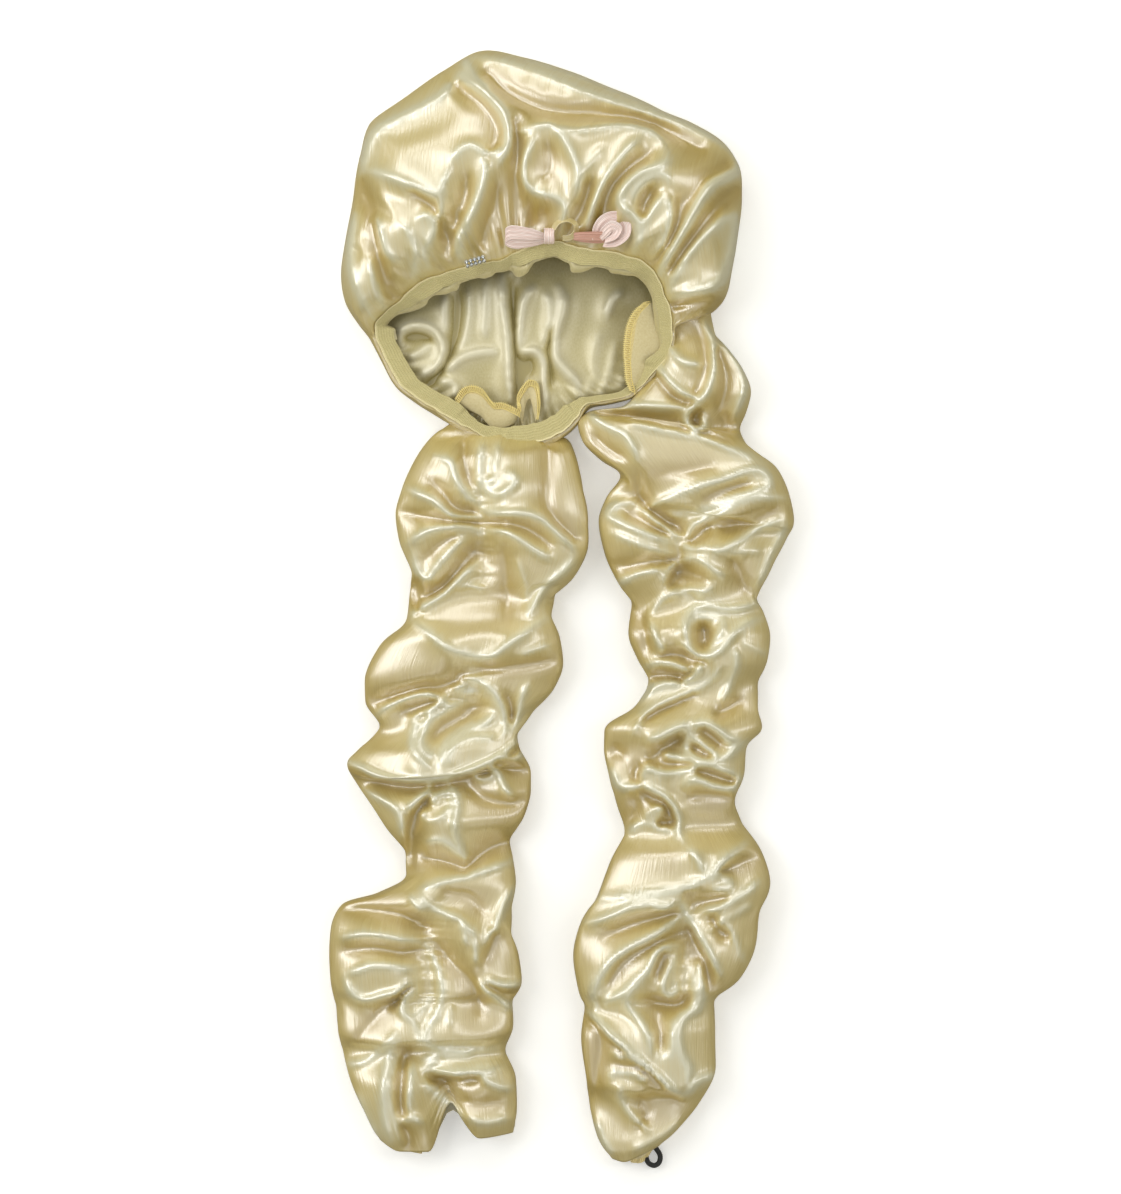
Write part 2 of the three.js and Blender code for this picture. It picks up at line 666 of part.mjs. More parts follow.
function crystalTrim() {
  const top = TRIM.z + TRIM.thick / 2;
  const plate = boxAt(STONE.pitch * STONE.count, TRIM.depth, TRIM.thick, TRIM.x, TRIM.y, TRIM.z, TRIM.turn);
  return Array.from({ length: STONE.count }, (_, i) => {
    const along = (i - (STONE.count - 1) / 2) * STONE.pitch;
    const [x, y] = [TRIM.x + along * Math.cos(TRIM.turn), TRIM.y + along * Math.sin(TRIM.turn)];
    const stone = new THREE.CylinderGeometry(STONE.table, STONE.radius, STONE.height, STONE.facets);
    return solidOf(stone.rotateX(Math.PI / 2), placed(x, y, top + 0.45 * STONE.height, TRIM.turn));
  }).reduce((trim, stone) => trim.add(stone), plate);
}

// Hair loop: an elastic ring whose upper end lies in the right sleeve's hem

function hairLoop() {
  const ring = new THREE.TorusGeometry(HAIR_LOOP.radius, HAIR_LOOP.cord, 6, 14);
  ring.scale(1, HAIR_LOOP.stretch, 1);
  const height = CLOTH + GAP + HAIR_LOOP.cord;
  return solidOf(ring, placed(HAIR_LOOP.x, HAIR_LOOP.y, height, HAIR_LOOP.turn));
}

// Assembly

const group = new THREE.Group();

function addPiece(name, solid, color, roughness, metalness = 0) {
  const material = new THREE.MeshStandardMaterial({ color, roughness, metalness });
  const mesh = new THREE.Mesh(geometryOf(solid), material);
  mesh.name = name;
  group.add(mesh);
}

addPiece("crown", crown, SATIN, 0.35);
addPiece("elastic_band", band, KNIT, 0.85);
addPiece("left_sleeve", leftSleeve, SATIN, 0.35);
addPiece("right_sleeve", rightSleeve, SATIN, 0.35);
for (const frill of SEAM_FRILLS) {
  addPiece(frill.name, cutBy(solidOf(frillSurface(frill)), [sewnEdgeGrown]), SEAM_THREAD, 0.8);
}
for (const loop of BOW_LOOPS) {
  const ribbon = solidOf(ribbonLoop(loop.length), placed(loop.x, loop.y, loop.z, loop.turn));
  addPiece(loop.name, cutBy(ribbon, neighbours), PINK, 0.4);
}
addPiece("bow_knot", cutBy(bowKnot(), neighbours), PINK, 0.4);
addPiece("bow_tail", cutBy(bowTail(), neighbours), PINK, 0.4);
addPiece("crystal_trim", cutBy(crystalTrim(), neighbours), SILVER, 0.2, 1);
addPiece("hair_loop", hairLoop(), BLACK, 0.9);

const box = new THREE.Box3().setFromObject(group);
const middle = box.getCenter(new THREE.Vector3());
group.position.set(-middle.x, -middle.y, -box.min.z);

export default group;
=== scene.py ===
"""A champagne satin sleep bonnet with two long ruched sleeves, lying flat with its opening up.

Lengths are millimetres of a drawing frame whose origin is the middle of the opening, until a mesh
is made: then they are metres of the part's own frame. Fold lines are points read in pixels of
the photograph, because that is where each fold was seen.
"""

import math

import bmesh
import bpy
import numpy as np
from mathutils import Matrix, Vector


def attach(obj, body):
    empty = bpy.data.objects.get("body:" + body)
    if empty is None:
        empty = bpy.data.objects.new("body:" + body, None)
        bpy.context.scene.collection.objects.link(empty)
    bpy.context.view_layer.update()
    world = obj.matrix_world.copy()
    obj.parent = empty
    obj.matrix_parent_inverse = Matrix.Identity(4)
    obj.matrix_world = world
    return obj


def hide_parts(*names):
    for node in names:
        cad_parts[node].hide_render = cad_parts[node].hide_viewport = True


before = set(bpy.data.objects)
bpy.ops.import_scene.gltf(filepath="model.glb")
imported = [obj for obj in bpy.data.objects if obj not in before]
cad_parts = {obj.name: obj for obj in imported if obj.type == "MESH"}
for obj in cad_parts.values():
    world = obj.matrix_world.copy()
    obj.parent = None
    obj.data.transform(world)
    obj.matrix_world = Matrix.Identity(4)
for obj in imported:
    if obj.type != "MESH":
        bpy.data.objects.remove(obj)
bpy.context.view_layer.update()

METRES = 0.001
OPENING_MIDDLE = np.array([-25.917, 182.394, 0.0])  # the drawing frame's origin in the part's frame
PIXEL = 0.68  # millimetres of the bonnet that one pixel of the photograph spans
OPENING_PIXEL = (524, 344)  # where the photograph shows the drawing frame's origin

SATIN_THICKNESS = 0.9
ALLOWANCE_THICKNESS = 0.7
RIBBON_THICKNESS = 0.5
GAP = 0.35  # between layers that touch
BAND_THICKNESS = 1.8
BAND_WIDTH = 11.5  # of the elastic laid flat; where the photograph shows less, the band stands up
FOLD_CELL = 1.0  # the grid on which the cloth between fold lines is relaxed
FOLD_REACH = 7.0  # how far a fold's pull is felt
FOLD_STEPS = 160  # rounds of relaxing
FOLD_BLUR = 4  # rounds of blur that round off every fold
BROAD_BLUR = 12  # and those that leave only the broad forms, which the coarse mesh can hold
MAP_MARGIN = 24  # how far a fold map runs past its lines, so that it fades to nothing inside it
FOLD_GAIN = 1.2  # the relaxed and blurred crests come out lower than they are drawn
CREST = 0.1  # the rounded top of a fold, as a share of its width
ROLL = 0.5  # how much of a fold's height is the narrow roll along its crest
ROLL_BLUR = 6  # rounds of blur that leave the roll wide enough for the mesh to draw it evenly
CREASE_SHADE = 2.2  # how much more a sharp crease deepens the satin's painted shade than a hollow does


def table(names, *rows):
    """Rows of numbers as one array for each named column."""
    return {name: np.array(column) for name, column in zip(names, zip(*rows))}


# Sections of the cap, one at each direction from the middle of the opening: the radius of the
# band's sewn edge, of its free edge and of the cap's outline, the height of the free edge and of
# the puffed cloth.
CROWN_SECTIONS = table(
    ["at", "seam", "rim", "out", "rim_z", "puff"],
    [0, 92.5, 100.5, 103.5, 29, 28],
    [6, 92.5, 101.5, 105, 31, 30],
    [9.5, 92.5, 102, 130, 33, 35],
    [13, 92, 102, 141, 35, 45],
    [20, 92, 101, 151.5, 38, 53],
    [27, 90, 101, 164, 41, 57],
    [34, 86, 97.5, 179.5, 44, 60],
    [40, 79, 91, 191, 46, 61],
    [45, 71, 86, 193.5, 47, 62],
    [52, 62, 79, 190, 47, 62],
    [60, 58.5, 74, 185, 47, 63],
    [70, 59, 72, 184.5, 47, 63],
    [80, 53, 68.5, 188.5, 47, 63],
    [90, 48, 63, 195.5, 46, 62],
    [98, 48, 59.5, 202, 45, 60],
    [106, 47, 57.5, 194.5, 44, 61],
    [117, 49, 60.5, 186, 42, 60],
    [124, 53, 63.5, 184, 40, 59],
    [131, 56, 66.5, 170, 37, 57],
    [141, 61, 73.5, 150.5, 33, 54],
    [150, 68, 82, 140.5, 29, 49],
    [160, 75, 88.5, 132.5, 25, 43],
    [167, 80, 96, 124.5, 22, 35],
    [173, 82, 102, 113.5, 20, 26],
    [178, 81, 100, 105, 18, 18],
    [187, 76, 94, 97.5, 17, 16.5],
    [198, 71, 88.5, 92, 17, 16.5],
    [208, 64.5, 80.5, 84, 17, 16.5],
    [219, 60, 73.5, 77, 17, 16.5],
    [231, 57, 69.5, 73, 17, 16.5],
    [241, 57, 68, 71.5, 17, 16.5],
    [252, 57, 69, 72.5, 17, 16.5],
    [264, 55, 68.5, 72, 17, 16.5],
    [275, 53, 67.5, 71, 17, 16.5],
    [285, 51, 66.5, 70, 17, 16.5],
    [295, 50, 65, 68.5, 18, 17.5],
    [304, 50, 62.5, 66, 18, 17.5],
    [315, 49, 59, 62.5, 19, 18.5],
    [327, 58, 70, 73.5, 21, 20],
    [334, 67, 79.5, 83, 22, 21],
    [341, 74, 85.5, 89, 24, 23],
    [348, 80, 91, 94.5, 26, 25],
    [356, 88, 99, 102.5, 28, 27],
)

# Rings of the cap between the band's free edge (rho 0) and the outline (rho 1), then back under,
# with the number of mesh rings up to each.
CROWN_RINGS = table(
    ["rho", "rim", "puff", "rings"],
    [0.09, 0.72, 0.3, 3],
    [0.2, 0.4, 0.61, 4],
    [0.34, 0.14, 0.87, 5],
    [0.5, 0, 1, 5],
    [0.66, 0, 0.96, 5],
    [0.8, 0, 0.82, 5],
    [0.91, 0, 0.61, 5],
    [0.98, 0, 0.4, 3],
    [1, 0, 0.26, 2],
    [0.985, 0, 0.1, 2],
    [0.9, 0, 0, 2],
)
SLEEVE_COLUMNS = ["lx", "ly", "rx", "ry", "top", "seam", "pinch", "lean"]

# Sections of the left sleeve from the band to the hem: its left and right side, its height, where
# the shirred line crosses it (0 left, 1 right), how deep the shirring pulls it in, and how far its
# crest hangs over towards the hem.
LEFT_SLEEVE = table(
    SLEEVE_COLUMNS,
    [-51, -54, 18, -60, 11, 0.38, 0, 0],
    [-60, -61, 30, -65, 16, 0.38, 0, 0],
    [-71, -75, 35, -76, 29, 0.4, 3, 0],
    [-82, -99, 40, -98, 38, 0.43, 10, 0],
    [-86, -116, 43, -118, 40, 0.43, 15, 0],
    [-84, -133, 43, -136, 38, 0.43, 15, 0],
    [-76, -156, 34, -157, 30, 0.42, 9, 2],
    [-77, -170, 21, -171, 25, 0.45, 2, 0],
    [-80, -187, 19, -184, 31, 0.5, 0, 0],
    [-97, -205, 24, -200, 39, 0.5, 0, 0],
    [-107, -228, 26, -217, 38, 0.54, 11, 0],
    [-107, -243, 20, -234, 29, 0.55, 12, 0],
    [-98, -260, 4, -252, 24, 0.57, 4, 2],
    [-112, -276, -4, -266, 35, 0.55, 0, 6],
    [-119, -285, -3, -274, 37, 0.52, 0, 12],
    [-112, -300, 4, -291, 24, 0.5, 4, 0],
    [-103, -313, 4, -304, 32, 0.5, 8, 0],
    [-93, -329, 0, -320, 34, 0.5, 2, 0],
    [-80, -348, -10, -339, 22, 0.5, 0, 0],
    [-80, -361, -8, -351, 25, 0.5, 0, 0],
    [-99, -373, -6, -367, 35, 0.5, 0, 3],
    [-123, -382, -8, -385, 37, 0.52, 5, 3],
    [-130, -398, -8, -400, 40, 0.53, 13, 0],
    [-131, -415, -4, -415, 39, 0.53, 15, 0],
    [-130, -433, -2, -433, 36, 0.52, 12, 6],
    [-127, -450, -8, -448, 30, 0.5, 7, 0],
    [-125, -466, -8, -463, 35, 0.5, 5, 7],
    [-122, -483, -13, -481, 22, 0.5, 5, 0],
    [-116, -501, -6, -497, 34, 0.52, 13, 0],
    [-106, -519, -5, -513, 30, 0.52, 15, 0],
    [-98, -532, -7, -527, 22, 0.52, 8, 0],
)

# Sections of the right sleeve
RIGHT_SLEEVE = table(
    SLEEVE_COLUMNS,
    [92, 23, 127, 26, 21, 0.5, 0, 0],
    [98, 9, 130, 10, 24, 0.5, 0, 0],
    [95, -4, 139, -3, 30, 0.5, 0, 0],
    [88, -19, 149, -18, 35, 0.5, 0, 0],
    [77, -33, 154, -32, 34, 0.5, 0, 0],
    [67, -42, 151, -45, 27, 0.5, 0, 0],
    [45, -46, 147, -57, 22, 0.5, 0, 0],
    [38, -55, 152, -70, 33, 0.5, 0, -8],
    [41, -66, 171, -84, 39, 0.5, 0, 0],
    [53, -79, 180, -104, 41, 0.45, 0, 0],
    [66, -90, 183, -120, 36, 0.42, 4, 8],
    [57, -105, 179, -131, 28, 0.42, 7, 0],
    [52, -121, 172, -144, 37, 0.44, 15, 0],
    [56, -142, 166, -157, 36, 0.45, 15, 0],
    [65, -162, 159, -172, 29, 0.46, 8, 0],
    [74, -178, 163, -183, 24, 0.5, 3, 0],
    [72, -197, 167, -199, 36, 0.52, 6, 0],
    [78, -214, 165, -215, 34, 0.5, 2, 0],
    [85, -229, 159, -232, 23, 0.5, 0, 0],
    [76, -246, 159, -247, 30, 0.5, 0, 0],
    [56, -262, 162, -261, 36, 0.5, 5, 0],
    [56, -276, 152, -275, 32, 0.52, 10, 0],
    [59, -293, 150, -293, 34, 0.5, 6, 0],
    [64, -312, 144, -312, 29, 0.5, 3, 0],
    [69, -331, 148, -326, 22, 0.5, 0, 0],
    [60, -351, 161, -346, 37, 0.5, 0, 0],
    [50, -374, 167, -367, 39, 0.54, 5, 6],
    [39, -396, 160, -389, 39, 0.57, 15, 0],
    [35, -416, 157, -410, 38, 0.6, 15, 0],
    [38, -437, 147, -431, 33, 0.64, 9, 3],
    [42, -453, 130, -449, 28, 0.6, 2, 0],
    [40, -472, 130, -468, 35, 0.5, 0, 0],
    [43, -495, 130, -491, 34, 0.5, 0, 9],
    [46, -517, 120, -513, 23, 0.5, 0, 0],
    [51, -537, 106, -530, 22, 0.5, 0, 0],
    [60, -551, 93, -543, 16, 0.5, 0, 0],
)

# How far each part of a hem hangs past the last section, from the left side to the right
LEFT_HEM = table(
    ["at", "drop"],
    [0, 10],
    [0.15, 18],
    [0.38, 19],
    [0.47, -2],
    [0.53, -14],
    [0.62, -1],
    [0.75, 12],
    [1, 10],
)
RIGHT_HEM = table(["at", "drop"], [0, 4], [0.3, 8], [0.6, 6], [1, 3])


# A fold: its height (below 0 for a hollow), its width where it begins and ends, its skew, and the
# pixels of the photograph that its crest runs through. A skew above 0 drops into a crease on the
# right of that run, one below 0 on the left, and its size is the crease's depth beside the height.
def folds(*rows):
    return [dict(zip(("height", "start", "end", "skew", "crest"), row)) for row in rows]


CROWN_FOLDS = folds(
    [6, 9, 9, 0, [
        (364, 174), (366, 158), (371, 142), (382, 130), (400, 121), (424, 110), (443, 99),
        (455, 84), (461, 76),
    ]],
    [9, 9, 10, 0.5, [
        (461, 76), (470, 85), (482, 94), (494, 105), (503, 116), (509, 129), (511, 141), (508, 155),
        (500, 168),
    ]],
    [6, 7, 6, 0, [(465, 60), (468, 68), (473, 78), (480, 86), (492, 96)]],
    [-7, 6, 6, 0, [(515, 128), (518, 150), (520, 175), (522, 200), (525, 220), (528, 240)]],
    [5, 8, 8, 0, [
        (368, 172), (385, 178), (400, 184), (415, 191), (428, 197), (438, 199), (444, 192),
        (449, 180), (453, 168),
    ]],
    [5, 8, 8, 0, [
        (453, 168), (458, 160), (466, 153), (473, 151), (480, 155), (488, 159), (497, 157),
        (505, 150),
    ]],
    [4, 7, 6, 0, [(447, 190), (441, 215), (438, 235)]],
    [7, 8, 6, 0, [
        (484, 164), (487, 178), (481, 198), (471, 222), (462, 238), (459, 251), (463, 262),
    ]],
    [-6, 9, 6, 0, [(470, 182), (465, 205), (456, 228), (450, 244), (449, 256)]],
    [-5, 7, 6, 0, [(500, 190), (494, 215), (486, 240), (480, 252)]],
    [5, 6, 5, 0, [
        (420, 224), (428, 219), (436, 225), (438, 233), (433, 243), (428, 253), (430, 272),
    ]],
    [-4, 6, 5, 0, [(414, 196), (427, 204), (438, 214), (442, 228), (444, 250)]],
    [5, 6, 5, 0, [(378, 222), (383, 240), (387, 254), (395, 261), (403, 266)]],
    [5, 6, 5, 0, [(404, 226), (412, 240), (418, 252), (417, 268), (414, 282)]],
    [-6, 8, 8, 0, [(364, 182), (368, 200), (374, 220), (379, 245), (384, 275), (392, 300)]],
    [6, 7, 6, 0, [(357, 215), (352, 240), (352, 268), (360, 295), (374, 320)]],
    [5, 6, 6, 0, [(372, 262), (376, 285), (386, 310)]],
    [6, 7, 8, 0, [
        (470, 58), (500, 63), (540, 76), (580, 93), (620, 107), (660, 119), (700, 134), (726, 148),
        (737, 160),
    ]],
    [5, 6, 6, 0, [(505, 56), (550, 68), (600, 85), (650, 107), (700, 127), (728, 143)]],
    [-9, 14, 16, 0, [(488, 76), (512, 98), (548, 114), (600, 118), (650, 126), (700, 152)]],
    [5, 7, 7, 0, [
        (519, 138), (534, 134), (548, 131), (570, 136), (596, 134), (622, 130), (646, 134),
        (660, 143), (668, 156),
    ]],
    [6, 6, 6, 0, [(550, 132), (560, 140), (570, 155), (577, 172), (578, 184), (570, 200)]],
    [6, 6, 6, 0, [
        (537, 138), (531, 152), (525, 165), (522, 177), (525, 188), (533, 196), (544, 200),
        (557, 203), (564, 210), (564, 220), (556, 235),
    ]],
    [-4, 8, 8, 0, [(548, 150), (552, 168), (545, 185)]],
    [-6, 8, 7, 0, [(545, 212), (540, 226), (538, 238)]],
    [6, 7, 5, 0, [(640, 143), (628, 155), (612, 175), (600, 195), (592, 215), (587, 233)]],
    [4, 6, 5, 0, [(604, 150), (590, 170), (582, 186), (578, 205)]],
    [-5, 6, 5, 0, [(590, 186), (586, 206), (580, 224)]],
    [-6, 8, 6, 0, [(650, 158), (630, 172), (612, 190), (604, 210), (598, 228)]],
    [7, 6, 5, 0, [
        (668, 158), (665, 168), (655, 173), (640, 178), (628, 188), (620, 200), (619, 209),
        (627, 217), (636, 223), (638, 232), (634, 256),
    ]],
    [5, 5, 5, 0, [(670, 190), (664, 180), (654, 182), (642, 190), (634, 200), (632, 210)]],
    [-7, 7, 6, 0, [(652, 194), (645, 206), (643, 218)]],
    [5, 5, 5, 0, [(662, 200), (652, 214), (643, 232), (638, 254)]],
    [5, 5, 5, 0, [(664, 200), (669, 212), (669, 228), (664, 246), (654, 258)]],
    [-6, 6, 5, 0, [(680, 200), (678, 225), (668, 250)]],
    [9, 8, 6, 0.4, [
        (738, 163), (736, 173), (724, 181), (711, 189), (701, 201), (694, 214), (685, 230),
        (675, 247), (665, 264), (659, 277),
    ]],
    [-7, 9, 7, 0, [(737, 190), (718, 208), (700, 231), (682, 256), (670, 272)]],
    [6, 8, 7, 0, [(734, 216), (712, 231), (692, 251), (677, 274), (669, 294)]],
    [7, 8, 7, 0, [
        (736, 218), (735, 238), (730, 260), (722, 280), (711, 291), (694, 296), (672, 302),
    ]],
    [-8, 5, 6, 0, [(669, 307), (690, 305), (708, 303), (726, 310)]],
)

FLOOR_FOLDS = folds(
    [5, 9, 9, 0, [(487, 278), (486, 310), (484, 340)]],
    [8, 5, 6, 0, [(503, 272), (504, 300), (507, 325), (509, 345), (510, 370), (512, 400)]],
    [-5, 4, 4, 0, [(512, 280), (514, 310), (516, 330), (516, 350), (517, 380), (519, 400)]],
    [4, 5, 5, 0, [(469, 285), (469, 310), (465, 335), (457, 352)]],
    [-5, 6, 6, 0, [(457, 290), (457, 312), (455, 335), (449, 352), (441, 366)]],
    [5, 5, 5, 0, [(445, 294), (446, 315), (446, 335)]],
    [6, 4, 5, 0, [(447, 370), (458, 359), (470, 354), (488, 351), (502, 351)]],
    [8, 4, 5, 0, [
        (400, 340), (402, 331), (412, 326), (424, 326), (434, 331), (442, 340), (445, 350),
        (442, 362), (434, 370), (423, 373),
    ]],
    [4, 4, 4, 0, [(432, 342), (424, 348), (416, 354), (409, 360)]],
    [-5, 4, 4, 0, [(404, 336), (413, 333), (423, 334), (432, 339)]],
    [-6, 5, 5, 0, [(428, 384), (436, 374), (443, 364)]],
    [4, 4, 5, 0, [(440, 380), (450, 380), (457, 388), (455, 397)]],
    [7, 5, 5, 0, [(535, 285), (525, 298), (520, 315), (518, 335), (518, 350)]],
    [5, 7, 7, 0, [(546, 290), (550, 305), (549, 325), (545, 345)]],
    [6, 4, 4, 0, [(521, 352), (531, 350), (540, 353), (545, 362), (546, 380), (545, 410)]],
    [-4, 6, 6, 0, [(531, 358), (531, 372)]],
    [-4, 4, 4, 0, [(552, 330), (550, 350), (550, 385)]],
    [7, 5, 6, 0, [
        (558, 285), (564, 300), (561, 318), (556, 332), (554, 348), (557, 360), (566, 370),
        (576, 380), (580, 395),
    ]],
    [3, 8, 8, 0, [(600, 330), (595, 350), (595, 370), (601, 385)]],
    [5, 8, 8, 0, [(622, 290), (612, 300), (606, 318)]],
    [3, 3, 4, 0, [(585, 402), (590, 387), (592, 374)]],
    [3, 3, 4, 0, [(600, 398), (606, 382), (612, 365), (616, 342)]],
    [3, 3, 4, 0, [(626, 396), (622, 376)]],
)

